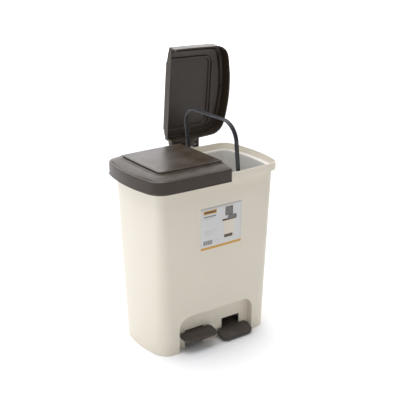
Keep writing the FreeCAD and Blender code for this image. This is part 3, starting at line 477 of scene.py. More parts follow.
def spread(tree, value, low, high, to_low, to_high):
    """Value from low..high stretched to to_low..to_high."""
    return add(tree, "ShaderNodeMapRange", {"Value": value, "From Min": low, "From Max": high,
                                            "To Min": to_low, "To Max": to_high}).outputs["Result"]


def moulded_grain():
    """Fine spark-eroded texture of a mould, with slow changes of tone and gloss."""
    tree, given, out = group_tree("Moulded grain", [("Scale", 900.0), ("Cloud scale", 5.0)],
                                  [("Height", "NodeSocketFloat"), ("Tone", "NodeSocketFloat"),
                                   ("Gloss", "NodeSocketFloat")])
    place = object_place(tree)
    fine = noise(tree, place, given.outputs["Scale"], 3.0, 0.6)
    cells = add(tree, "ShaderNodeTexVoronoi", {"Vector": place, "Scale": given.outputs["Scale"]},
                feature="SMOOTH_F1").outputs["Distance"]
    cloud = noise(tree, place, given.outputs["Cloud scale"], 5.0, 0.55)
    height = blend(tree, fine, cells)
    smear = noise(tree, place, 38.0, 4.0, 0.7, 0.6)
    gloss = blend(tree, smear, fine)
    tree.links.new(height, out.inputs["Height"])
    tree.links.new(cloud, out.inputs["Tone"])
    tree.links.new(gloss, out.inputs["Gloss"])
    return tree


def edge_wear():
    """Mask of edges that rub pale or shiny, broken up by noise."""
    tree, given, out = group_tree("Edge wear", [("Amount", 0.5), ("Scale", 60.0)],
                                  [("Mask", "NodeSocketFloat")])
    edge = add(tree, "ShaderNodeNewGeometry").outputs["Pointiness"]
    sharp = spread(tree, edge, 0.505, 0.56, 0.0, 1.0)
    patches = noise(tree, object_place(tree), given.outputs["Scale"], 6.0, 0.7)
    broken = spread(tree, patches, 0.38, 0.66, 0.0, 1.0)
    tree.links.new(product(tree, sharp, broken, given.outputs["Amount"]), out.inputs["Mask"])
    return tree


def settled_dust():
    """Mask of dust on faces that look up."""
    tree, given, out = group_tree("Settled dust", [("Amount", 0.3)], [("Mask", "NodeSocketFloat")])
    up = add(tree, "ShaderNodeSeparateXYZ", {0: add(tree, "ShaderNodeNewGeometry").outputs["Normal"]})
    facing = spread(tree, up.outputs["Z"], 0.55, 1.0, 0.0, 1.0)
    specks = spread(tree, noise(tree, object_place(tree), 26.0, 8.0, 0.75), 0.42, 0.78, 0.0, 1.0)
    tree.links.new(product(tree, facing, specks, given.outputs["Amount"]), out.inputs["Mask"])
    return tree


def shared_group(tree, name, build, **inputs):
    """A node of a shared group, made the first time, with its inputs set."""
    node = add(tree, "ShaderNodeGroup", node_tree=bpy.data.node_groups.get(name) or build())
    for key, value in inputs.items():
        node.inputs[key].default_value = value
    return node


# ---------------------------------------------------------------- materials

def mix_colour(tree, share, first, second):
    node = add(tree, "ShaderNodeMix", data_type="RGBA")
    for index, value in ((0, share), (6, first), (7, second)):
        if isinstance(value, bpy.types.NodeSocket):
            tree.links.new(value, node.inputs[index])
        else:
            node.inputs[index].default_value = value
    return node.outputs[2]


def shade(rgb, factor):
    return tuple(min(1.0, channel * factor) for channel in rgb) + (1.0,)


FINISHES = {}


def new_material(name):
    FINISHES[name] = material = bpy.data.materials.new(name)
    material.use_nodes = True
    return material, material.node_tree, material.node_tree.nodes["Principled BSDF"]


def plastic(name, rgb, gloss=(0.38, 0.5), grain=900.0, depth=0.12, wear=0.5, wear_tint=1.5, dust=0.25,
            tone=0.06):
    """Moulded plastic: grain, slow tone, rubbed edges and a little dust."""
    if name in FINISHES:
        return FINISHES[name]
    material, tree, shader = new_material(name)
    texture = shared_group(tree, "Moulded grain", moulded_grain, Scale=grain)
    worn = shared_group(tree, "Edge wear", edge_wear, Amount=wear)
    dusty = shared_group(tree, "Settled dust", settled_dust, Amount=dust)
    share = spread(tree, texture.outputs["Tone"], 0.35, 0.65, 0.0, 1.0)
    base = mix_colour(tree, share, shade(rgb, 1 - tone), shade(rgb, 1 + tone))
    base = mix_colour(tree, worn.outputs["Mask"], base, shade(rgb, wear_tint))
    base = mix_colour(tree, dusty.outputs["Mask"], base, (0.52, 0.50, 0.46, 1.0))
    tree.links.new(base, shader.inputs["Base Color"])
    rough = spread(tree, texture.outputs["Gloss"], 0.3, 0.7, *gloss)
    rough = math_node(tree, "ADD", rough, product(tree, dusty.outputs["Mask"], 0.3))
    tree.links.new(rough, shader.inputs["Roughness"])
    bump = add(tree, "ShaderNodeBump", {"Strength": depth, "Distance": 0.0003,
                                        "Height": texture.outputs["Height"]})
    tree.links.new(bump.outputs["Normal"], shader.inputs["Normal"])
    shader.inputs["IOR"].default_value = 1.49
    return material


def metal(name, rgb, stretch, gloss=(0.25, 0.42)):
    """Drawn steel: fine lines along one axis, tarnish and bright edges."""
    if name in FINISHES:
        return FINISHES[name]
    material, tree, shader = new_material(name)
    place = object_place(tree)
    stretched = add(tree, "ShaderNodeMapping", {"Vector": place, "Scale": stretch}).outputs["Vector"]
    lines = noise(tree, stretched, 400.0, 4.0, 0.5)
    stain = noise(tree, place, 30.0, 6.0, 0.5)
    worn = shared_group(tree, "Edge wear", edge_wear)
    base = mix_colour(tree, spread(tree, stain, 0.35, 0.7, 0.0, 1.0), shade(rgb, 1.0), shade(rgb, 0.72))
    base = mix_colour(tree, worn.outputs["Mask"], base, shade(rgb, 1.3))
    tree.links.new(base, shader.inputs["Base Color"])
    tree.links.new(spread(tree, lines, 0.3, 0.7, *gloss), shader.inputs["Roughness"])
    bump = add(tree, "ShaderNodeBump", {"Strength": 0.15, "Distance": 0.0002, "Height": lines})
    tree.links.new(bump.outputs["Normal"], shader.inputs["Normal"])
    shader.inputs["Metallic"].default_value = 1.0
    return material


def bin_plastic(context):
    return plastic("bin_plastic", context.scene.trash_colours.bin, gloss=(0.36, 0.5), depth=0.10,
                   wear=0.25, wear_tint=1.15, dust=0.12, tone=0.015)


def bucket_plastic(context):
    return plastic("bucket_plastic", context.scene.trash_colours.bucket, gloss=(0.30, 0.46), depth=0.08,
                   wear=0.2, wear_tint=1.15, dust=0.15, tone=0.02)


def lid_plastic(context):
    return plastic("lid_plastic", context.scene.trash_colours.lid, gloss=(0.27, 0.40), depth=0.16,
                   wear=0.5, wear_tint=2.2, dust=0.10, tone=0.06)


def pedal_plastic(context):
    return plastic("pedal_plastic", context.scene.trash_colours.pedal, gloss=(0.36, 0.52), grain=700.0,
                   depth=0.22, wear=0.75, wear_tint=2.6, dust=0.10, tone=0.08)


def strap_plastic(context):
    return plastic("strap_plastic", context.scene.trash_colours.strap, gloss=(0.30, 0.44), depth=0.12,
                   wear=0.7, wear_tint=3.0, dust=0.05, tone=0.08)


# ---------------------------------------------------------------- outer bin

def bin_walls(context):
    """Outer bin's skin: outside, rim band, inside down to the deck, and the room under the deck."""
    can = context.scene.trash_bin
    top, foot = outlines(context)
    ledge = BIN_HIGH.z - can.band_height

    def base(height):
        return foot.mixed(top, min(max(height / ledge, 0.0), 1.0))

    wall, step, rim = can.wall, can.band_step, BIN_HIGH.z
    outside = rounded([(0, 0, 0), (0, ledge, 2.2 * MM), (step, ledge, 1.6 * MM), (step, rim, 1.2 * MM),
                       (step - wall, rim, 1.2 * MM), (step - wall, ledge + wall, 1.5 * MM),
                       (-wall, ledge + wall, 1.5 * MM), (-wall, ledge - 12 * MM, 0)])
    levels = [(-0.9 * MM, 0.0), (-0.25 * MM, 0.25 * MM), (0.0, 0.9 * MM)]
    levels += [(0.0, ledge * share) for share in (0.1, 0.25, 0.45, 0.65, 0.82, 0.94)]
    levels += [tuple(point) for point in outside[1:]]
    levels += [(-wall, can.deck + 6 * MM), (-wall - 1.8 * MM, can.deck + 1.8 * MM)]
    levels += [(-wall - 6 * MM, can.deck)]
    under = [(-wall, can.deck - wall), (-wall, 0.5 * MM), (0.6 * MM - wall, 0.0)]
    bm = bmesh.new()
    skin(bm, [(base(height).grown(out), height) for out, height in under + levels], fill_first=True,
         fill_last=True)
    return bm, base


def arch_block(bm, half, top, radius, low, front, back):
    """An upright block with two rounded upper corners; front is a function of height."""
    made = block(bm, (-half, 0.0, low), (half, back, top))
    upper = [edge for edge in {e for v in made for e in v.link_edges}
             if all(vert.co.z > top - 1e-6 for vert in edge.verts)
             and abs(edge.verts[0].co.x - edge.verts[1].co.x) < 1e-6]
    bmesh.ops.bevel(bm, geom=upper, offset=radius, segments=14, affect="EDGES", profile=0.5, material=-1)
    bmesh.ops.remove_doubles(bm, verts=bm.verts[:], dist=1e-6)
    for vert in bm.verts:
        if abs(vert.co.y - back) > 1e-6:
            vert.co.y = front(vert.co.z)
    bmesh.ops.recalc_face_normals(bm, faces=bm.faces[:])


def tool_object(name, bm):
    mesh = bpy.data.meshes.new(name)
    bm.to_mesh(mesh)
    bm.free()
    tool = bpy.data.objects.new(name, mesh)
    bpy.context.collection.objects.link(tool)
    return tool


def combine(piece, operation, tools):
    """Applies booleans with other objects, one after the other, and removes those objects."""
    for tool in tools:
        step = piece.modifiers.new(operation.lower(), "BOOLEAN")
        step.operation = operation
        step.solver = "EXACT"
        step.object = tool
    graph = bpy.context.evaluated_depsgraph_get()
    mesh = bpy.data.meshes.new_from_object(piece.evaluated_get(graph))
    piece.modifiers.clear()
    old, piece.data = piece.data, mesh
    mesh.name = old.name
    bpy.data.meshes.remove(old)
    for tool in tools:
        bpy.data.meshes.remove(tool.data)


class TRASH_OT_outer_bin(bpy.types.Operator):
    """Cream outer bin with its rim band, toe recess, pedal slots, rear posts and underside ribs"""
    bl_idname = "trash.outer_bin"
    bl_label = "Outer bin"

    def execute(self, context):
        can = context.scene.trash_bin
        bm, base = bin_walls(context)
        piece = finish_piece(bm, "outer_bin_shell", "frame", bin_plastic(context),
                             replaced=["outer_bin"])

        def skin_front(height):
            """Y inside the front wall's thickness at a height, clear of the bow at the recess's sides."""
            return -base(height).values[1] + 0.9 * can.wall

        half, top, radius = can.recess_width / 2, can.recess_height, can.recess_corner
        pocket = bmesh.new()
        arch_block(pocket, half + can.wall, top + can.wall, radius + can.wall, 0.0, skin_front,
                   can.wall - can.recess_back)
        room = bmesh.new()
        arch_block(room, half, top, radius, -can.wall, lambda height: -2 * can.recess_back, -can.recess_back)
        combine(piece, "UNION", [tool_object("recess_pocket", pocket)])
        cutters = [tool_object("recess_room", room)]
        pedal_x = middle_x("pedal_right")
        for side in (LEFT, RIGHT):
            bm = bmesh.new()
            block(bm, (side * pedal_x - can.slot_width / 2, -can.recess_back - 0.006, -0.01),
                  (side * pedal_x + can.slot_width / 2, 0.006 - can.recess_back, can.slot_height), 1.5 * MM)
            cutters.append(tool_object("slot_cutter", bm))
            bm = bmesh.new()
            block(bm, (side * pedal_x - 9 * MM, 0.07, -0.01),
                  (side * pedal_x + 9 * MM, 0.12, can.deck - 5.5 * MM))
            cutters.append(tool_object("lever_cutter", bm))
        combine(piece, "DIFFERENCE", cutters)
        shade_smooth(piece.data)
        soften(piece, 0.9 * MM)
        self.ribs(context, base)
        return {"FINISHED"}

    def ribs(self, context, base):
        """Posts and bosses on the back, and ribs under the deck."""
        can = context.scene.trash_bin
        plate_low, cover_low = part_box("hinge_bracket")[0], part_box("rear_cover")[0]
        screw_head = 4 * MM
        post_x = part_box("rear_cover_screws")[1].x - screw_head
        back = cover_low.y
        posts = ((post_x, can.post_half, cover_low.z), (can.boss_place, can.boss_half, plate_low.z))
        bm = bmesh.new()
        for side in (LEFT, RIGHT):
            for x, half, low in posts:
                made = block(bm, (side * x - half, 0.0, low), (side * x + half, back, can.post_top), 1.0 * MM)
                for vert in made:
                    if vert.co.y < back / 2:
                        vert.co.y = base(vert.co.z).values[1] - 2.2 * MM
        axle_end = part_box("pedal_axle")[1].x
        deck = can.deck - 1.0 * MM
        block(bm, (-can.wall, 1.5 * MM - can.recess_back, 0.0),
              (can.wall, base(0).values[1] - 1.2 * MM, deck), 0.6 * MM)
        for side in (LEFT, RIGHT):
            low, high = across(side, axle_end - 9 * MM, axle_end - 3 * MM)
            block(bm, (low, PEDAL_PIVOT.y - 12 * MM, PEDAL_PIVOT.z - 10 * MM),
                  (high, PEDAL_PIVOT.y + 12 * MM, deck), 0.8 * MM)
            for x in (0.128, 0.098):
                block(bm, (side * x - 1.2 * MM, -0.062, 0.020), (side * x + 1.2 * MM, 0.080, deck), 0.5 * MM)
        finish_piece(bm, "outer_bin_ribs", "frame", bin_plastic(context))


# ---------------------------------------------------------------- buckets

class TRASH_OT_buckets(bpy.types.Operator):
    """Two lift-out buckets with rim flanges, lugs and studs for the handles"""
    bl_idname = "trash.buckets"
    bl_label = "Inner buckets"

    def execute(self, context):
        for side in (LEFT, RIGHT):
            self.bucket(context, side)
        return {"FINISHED"}

    def bucket(self, context, side):
        can = context.scene.trash_bin
        tag = SIDE_NAME[side]
        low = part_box(f"inner_bucket_{tag}")[0]
        rim_level = BIN_HIGH.z - can.band_height + can.wall
        top = outlines(context)[0].grown(-can.wall - can.bucket_gap)
        bottom = bowed(can.bucket_half_width, can.bucket_half_depth, can.side_bow, can.front_bow,
                       can.bucket_corner)
        reach = can.wall + can.bucket_gap + can.bucket_flange
        wall, flange = can.bucket_wall, rim_level + 2.0 * MM

        def base(height):
            return bottom.mixed(top, min(max((height - low.z) / (rim_level - low.z), 0.0), 1.0))

        def rows(path):
            """Rings along a path, with more of them on its long runs."""
            made = [tuple(path[0])]
            for first, second in zip(path, path[1:]):
                count = max(1, round(abs(second[1] - first[1]) / 0.06))
                made += [tuple(first.lerp(second, step / count)) for step in range(1, count + 1)]
            return [(base(height).grown(out), height) for out, height in made]

        outer = rounded([(-9 * MM, low.z, 0), (0, low.z, 6 * MM), (0, rim_level, 1.0 * MM),
                         (reach, rim_level, 0.4 * MM), (reach, flange, 0.9 * MM), (-wall, flange, 2.0 * MM),
                         (-wall, flange - 8 * MM, 0)])
        inner = rounded([(-wall, flange - 8 * MM, 0), (-wall, low.z + wall, 5 * MM),
                         (-9 * MM, low.z + wall, 0)])
        bm = bmesh.new()
        skin(bm, rows(outer) + rows(inner)[1:], fill_first=True, fill_last=True)
        edge = flat_side(f"inner_bucket_{tag}", side)
        cut_flat(bm, side, edge)
        room = rounded([(-9 * MM, low.z + wall, 0), (-wall, low.z + wall, 5 * MM), (-wall, flange, 0)])
        chain = cut_line(rows(room), side, edge, lambda point: math.atan2(point.y, 0.3 - point.z))
        wall_plate(bm, side, chain, wall)
        finish_piece(bm, f"inner_bucket_{tag}_shell", "frame", bucket_plastic(context),
                     replaced=[f"inner_bucket_{tag}"], outward=False)
        self.lugs(context, side, rim_level)

    def lugs(self, context, side, rim_level):
        """Two lugs with studs, outside the bucket's front and back walls."""
        tag = SIDE_NAME[side]
        pivot = Vector(JOINTS[f"bail_{tag}_pivot"]["pos_m"])
        handle = context.scene.trash_handle
        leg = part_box(f"bail_{tag}")[1].y
        face, foot = leg - handle.strap_wall, rim_level + 1 * MM
        bm = bmesh.new()
        for way in (1, -1):
            inner, outer = across(way, face - 4.3 * MM, face - 0.7 * MM)
            block(bm, (pivot.x - handle.lug_half, inner, foot),
                  (pivot.x + handle.lug_half, outer, pivot.z + handle.lug_rise), 1.2 * MM, 3)
            start, end = across(way, face - 2 * MM, leg + 0.7 * MM)
            round_bar(bm, "Y", handle.stud_radius, start, end, pivot, 0.4 * MM, 24)
            for offset in (-5 * MM, 5 * MM):
                low, high = across(way, face - 7.5 * MM, face - 4.0 * MM)
                block(bm, (pivot.x + offset - 0.8 * MM, low, foot),
                      (pivot.x + offset + 0.8 * MM, high, pivot.z + 1 * MM), 0.4 * MM)
        finish_piece(bm, f"inner_bucket_{tag}_lugs", "frame", bucket_plastic(context))


def cut_flat(bm, side, edge):
    """Cuts a closed shell off at X = edge, keeps the side's half and closes the cut."""
    bmesh.ops.recalc_face_normals(bm, faces=bm.faces[:])
    everything = bm.verts[:] + bm.edges[:] + bm.faces[:]
    bmesh.ops.bisect_plane(bm, geom=everything, dist=1e-6, plane_co=(edge, 0, 0), plane_no=(-side, 0, 0),
                           clear_outer=True)
    bmesh.ops.holes_fill(bm, edges=[item for item in bm.edges if item.is_boundary], sides=0)


def cut_line(stations, side, edge, order):
    """The points in which the plane X = edge cuts a skin, in order."""
    bm = bmesh.new()
    skin(bm, stations)
    everything = bm.verts[:] + bm.edges[:] + bm.faces[:]
    cut = bmesh.ops.bisect_plane(bm, geom=everything, dist=1e-6, plane_co=(edge, 0, 0),
                                 plane_no=(-side, 0, 0), clear_outer=True)["geom_cut"]
    points = [item.co.copy() for item in cut if isinstance(item, bmesh.types.BMVert)]
    bm.free()
    return sorted(points, key=order)


def wall_plate(bm, side, chain, wall):
    """An upright wall with the chain's outline, wall thick towards the side's half."""
    face = bm.faces.new([bm.verts.new(point) for point in chain])
    made = bmesh.ops.extrude_face_region(bm, geom=[face], use_keep_orig=True)["geom"]
    moved = [item for item in made if isinstance(item, bmesh.types.BMVert)]
    bmesh.ops.translate(bm, vec=(side * wall, 0, 0), verts=moved)
    faces = {item for vert in moved for item in vert.link_faces} | {face}
    bmesh.ops.recalc_face_normals(bm, faces=list(faces))


# ---------------------------------------------------------------- lids

class LidShape:
    """Rings of a whole lid, outside and inside."""

    def __init__(self, context):
        lid = context.scene.trash_lid
        self.rim = outlines(context)[0].grown(lid.overhang)
        self.plateau = Bow(lid.plateau_width, (lid.plateau_back + lid.plateau_front) / 2, 2.5, 4.0,
                           lid.plateau_corner, (lid.plateau_back - lid.plateau_front) / 2)
        self.bottom = BIN_HIGH.z - lid.drop
        self.skirt_top = self.bottom + lid.skirt
        self.summit, self.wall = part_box("lid_left")[1].z, lid.wall
        self.outside = self.outer(lid)
        self.inside = self.inner(lid)

    def slope(self, border, level, rise, count=9):
        """Rings of the border, slightly domed, from its foot to the plateau's edge."""
        rings = []
        for index in range(1, count + 1):
            share = index / count
            height = level + rise * (1.75 * share - 0.75 * share ** 2)
            rings.append((border.mixed(self.plateau, share), height))
        return rings

    def outer(self, lid):
        """Hem, skirt, shoulder, groove, border, line and plateau."""
        shoulder = lid.shoulder
        level = self.skirt_top + 4.0 * MM
        path = rounded([(0.1 * MM, self.bottom, 0), (0.9 * MM, self.bottom, 0.4 * MM),
                        (0.9 * MM, self.bottom + 2.6 * MM, 0.5 * MM),
                        (0.0, self.bottom + 3.2 * MM, 0.5 * MM), (0.0, level, shoulder),
                        (-shoulder - 1.4 * MM, level + 0.4 * MM, 0)], steps=5)
        rings = [(self.rim.grown(out), height) for out, height in path]
        start = self.rim.grown(-shoulder - 1.4 * MM)
        for out, height in ((0.4, -0.1), (0.9, -0.35), (1.5, -0.3), (2.1, 0.5)):
            rings.append((start.grown(-out * MM), level + height * MM))
        border, level = start.grown(-2.1 * MM), level + 0.5 * MM
        rings += self.slope(border, level, self.summit - lid.step - level)
        foot = self.summit - lid.step - lid.groove
        for out, height in ((0.4, foot), (1.0, foot), (1.3, self.summit - 0.7 * MM),
                            (1.6, self.summit - 0.2 * MM), (2.2, self.summit), (9.0, self.summit)):
            rings.append((self.plateau.grown(-out * MM), height))
        return rings

    def inner(self, lid):
        """The inside of the skirt, of the border and of the plateau."""
        wall = self.wall
        level = self.skirt_top + 4.0 * MM - wall
        path = rounded([(0.1 * MM - wall, self.bottom, 0), (-wall, self.bottom, 0.05 * MM),
                        (-wall, level, 2.0 * MM), (-wall - 3 * MM, level + 0.4 * MM, 0)])
        rings = [(self.rim.grown(out), height) for out, height in path]
        border = self.rim.grown(-wall - 3 * MM)
        rings += self.slope(border, level + 0.4 * MM, self.summit - lid.step - wall - level - 0.4 * MM)
        rings.append((self.plateau.grown(-2.0 * MM), self.summit - wall))
        rings.append((self.plateau.grown(-9.0 * MM), self.summit - wall))
        return rings


def ridge(bm, outline, thick, bottom, top):
    """A thin upright rib that follows an outline."""
    outer, inner = outline, outline.grown(-thick)
    skin(bm, [(outer, top), (outer, bottom + 0.4 * MM), (outer.grown(-0.3 * MM), bottom),
              (inner.grown(0.3 * MM), bottom), (inner, bottom + 0.4 * MM), (inner, top)], closed=True)


def lid_turn(side):
    """The turn of a lid about its hinge from shut to where it rests."""
    joint = JOINTS[f"lid_{SIDE_NAME[side]}_hinge"]
    return about(HINGE, Vector(joint["axis"]), -math.radians(joint["range_deg"][0]))


class TRASH_OT_lids(bpy.types.Operator):
    """Two dark brown lids with their inner ribs, hinge arms and horns"""
    bl_idname = "trash.lids"
    bl_label = "Lids"

    def execute(self, context):
        for side in (LEFT, RIGHT):
            self.shell(context, side)
            self.inside(context, side)
            self.hinge(context, side)
        return {"FINISHED"}

    def shell(self, context, side):
        lid = context.scene.trash_lid
        shape = LidShape(context)
        tag = SIDE_NAME[side]
        edge = flat_side(f"lid_{tag}", side)
        bm = bmesh.new()
        skin(bm, shape.inside[::-1] + shape.outside, fill_first=True, fill_last=True)
        cut_flat(bm, side, edge)
        chain = cut_line(shape.inside, side, edge, lambda point: math.atan2(point.y, point.z - 0.2))
        clear, level, low = 2.0 * MM - BIN_LOW.y, BIN_HIGH.z + 1.5 * MM, shape.bottom
        chain += [(edge, clear, low), (edge, clear, level), (edge, -clear, level), (edge, -clear, low)]
        wall_plate(bm, side, chain, lid.wall)
        finish_piece(bm, f"lid_{tag}_shell", f"lid_{tag}", lid_plastic(context),
                     replaced=[f"lid_{tag}"], move=lid_turn(side), outward=False)

    def inside(self, context, side):
        """Rib round the plateau and a low rib inside the skirt."""
        lid = context.scene.trash_lid
        shape = LidShape(context)
        tag = SIDE_NAME[side]
        edge = flat_side(f"lid_{tag}", side) + side * lid.wall / 2
        ceiling = shape.summit - lid.wall
        bm = bmesh.new()
        ridge(bm, shape.plateau.grown(7 * MM), 1.8 * MM, ceiling - 7.5 * MM, ceiling - 1.0 * MM)
        ridge(bm, shape.rim.grown(-11.5 * MM), 1.6 * MM, shape.skirt_top - 3.2 * MM,
              shape.skirt_top + 3.0 * MM)
        cut_flat(bm, side, edge)
        finish_piece(bm, f"lid_{tag}_ribs", f"lid_{tag}", lid_plastic(context),
                     move=lid_turn(side), outward=False)

    def hinge(self, context, side):
        """Arms on the pin, a web between them, and the horn that the push rod turns."""
        lid = context.scene.trash_lid
        tag = SIDE_NAME[side]
        shape = LidShape(context)
        skirt_back = -BIN_LOW.y - context.scene.trash_bin.band_step + lid.overhang
        rod_x = middle_x("push_rod_right")
        radius, half, top = lid.knuckle, lid.arm / 2, shape.skirt_top
        inner, hem = skirt_back - 1.5 * MM, shape.bottom + 2.2 * MM
        bm = bmesh.new()
        for x in (lid.arm_near, rod_x, lid.arm_middle, lid.arm_far):
            span = across(side, x - half, x + half)
            outline = [(skirt_back - 2.2 * MM, shape.bottom + 2 * MM),
                       (HINGE.y - 0.2 * radius, HINGE.z - 0.97 * radius),
                       (HINGE.y + 0.7 * radius, HINGE.z + 0.7 * radius), (HINGE.y - 15 * MM, top - 1 * MM),
                       (skirt_back - 2.2 * MM, top - 1 * MM)]
            plate(bm, outline, span, 0.5 * MM)
            round_bar(bm, "X", radius, *span, HINGE, 0.5 * MM)
        all_arms = across(side, lid.arm_near - half, lid.arm_far + half)
        web = [(inner, top - 3.5 * MM), (HINGE.y - 16.5 * MM, top - 3.5 * MM),
               (HINGE.y - 6 * MM, HINGE.z + 9 * MM), (HINGE.y - 4.5 * MM, HINGE.z + 11 * MM),
               (HINGE.y - 15.5 * MM, top - 1.2 * MM), (inner, top - 1.2 * MM)]
        plate(bm, web, all_arms, 0.4 * MM)
        flap = [(inner, hem), (HINGE.y - 7.5 * MM, HINGE.z - 5.4 * MM),
                (HINGE.y - 5.0 * MM, HINGE.z - 3.0 * MM), (HINGE.y - 7.5 * MM, HINGE.z - 3.2 * MM),
                (inner, hem + 2.2 * MM)]
        plate(bm, flap, across(side, 62.0 * MM, 92.0 * MM), 0.4 * MM)
        short = [(inner, hem), (inner + 8.5 * MM, hem), (inner + 8.5 * MM, hem + 2.2 * MM),
                 (inner, hem + 2.2 * MM)]
        plate(bm, short, all_arms, 0.4 * MM)
        horn = bmesh.new()
        self.horn_loop(horn, across(side, rod_x - half, rod_x + half), lid)
        angle = joint_travel(f"lid_{tag}_hinge") / 2
        place = Matrix.Translation((0, HINGE.y, HINGE.z)) @ Matrix.Rotation(angle, 4, "X")
        bmesh.ops.transform(horn, matrix=place, verts=horn.verts[:])
        mesh = bpy.data.meshes.new("horn")
        horn.to_mesh(mesh)
        horn.free()
        bm.from_mesh(mesh)
        bpy.data.meshes.remove(mesh)
        finish_piece(bm, f"lid_{tag}_hinge_arms", f"lid_{tag}", lid_plastic(context),
                     move=lid_turn(side))

    def horn_loop(self, bm, span, lid):
        """A slotted lever that points along -Y from the axis: two cheeks and a round nose."""
        slot, width, reach = lid.horn_slot, lid.horn_half, lid.horn_reach
        for way in (1, -1):
            low, high = across(way, slot, width)
            block(bm, (span[0], -reach, low), (span[1], 0, high), 0.3 * MM)
        loop_verts = [bm.verts.new((x, -reach, z)) for x, z in
                      ((span[0], slot), (span[1], slot), (span[1], width), (span[0], width))]
        loop = [bm.edges.new((loop_verts[index], loop_verts[(index + 1) % 4])) for index in range(4)]
        turn(bm, loop, (0, -reach, 0), (1, 0, 0), math.pi, 14)
        bmesh.ops.holes_fill(bm, edges=[edge for edge in bm.edges if edge.is_boundary], sides=0)


# ---------------------------------------------------------------- handles

class TRASH_OT_handles(bpy.types.Operator):
    """Two bail handles: straps with raised edges and eyes on the studs"""
    bl_idname = "trash.handles"
    bl_label = "Bail handles"

    def execute(self, context):
        for side in (LEFT, RIGHT):
            self.handle(context, side)
        return {"FINISHED"}

    def handle(self, context, side):
        handle = context.scene.trash_handle
        tag = SIDE_NAME[side]
        pivot = Vector(JOINTS[f"bail_{tag}_pivot"]["pos_m"])
        wall, corner = handle.strap_wall, handle.strap_corner
        half_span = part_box(f"bail_{tag}")[1].y - wall / 2
        rise = pivot_reach() - wall / 2
        edge, web, half = wall / 2, handle.strap_web / 2, handle.strap_half
        rib = [(0.0, -edge), (0.3 * MM, -edge - 0.15 * MM), (1.7 * MM, -edge), (2.4 * MM, -web)]
        section = [(x - half, y) for x, y in rib] + [(half - x, y) for x, y in reversed(rib)]
        section += [(x, -y) for x, y in reversed(section)]
        bm = bmesh.new()
        verts = [bm.verts.new((pivot.x + x, -half_span + y, pivot.z)) for x, y in section]
        loop = [bm.edges.new((verts[index], verts[(index + 1) % len(verts)])) for index in range(len(verts))]
        radius = corner - wall / 2
        leg = rise - radius
        for _ in range(2):
            loop = slide(bm, loop, (0, 0, leg / 2))
        loop = turn(bm, loop, (pivot.x, -half_span + radius, pivot.z + leg), (1, 0, 0), -math.pi / 2, 16)
        loop = slide(bm, loop, (0, 2 * (half_span - radius), 0))
        loop = turn(bm, loop, (pivot.x, half_span - radius, pivot.z + leg), (1, 0, 0), -math.pi / 2, 16)
        loop = slide(bm, loop, (0, 0, -leg))
        bmesh.ops.holes_fill(bm, edges=[edge for edge in bm.edges if edge.is_boundary], sides=0)
        for way in (1, -1):
            start, end = across(way, half_span - wall / 2, half_span + wall / 2)
            round_bar(bm, "Y", handle.eye_radius, start, end, pivot, 0.5 * MM)
        lean = joint_travel(f"bail_{tag}_pivot") - math.pi / 2
        angle = -math.pi / 2 if side < 0 else -lean
        finish_piece(bm, f"bail_{tag}_strap", f"bail_{tag}", strap_plastic(context),
                     replaced=[f"bail_{tag}"], move=about(pivot, "Y", angle))


def pivot_reach():
    """How far the folded strap reaches from its pivot."""
    return JOINTS["bail_left_pivot"]["pos_m"][0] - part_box("bail_left")[0].x


# ---------------------------------------------------------------- pedals

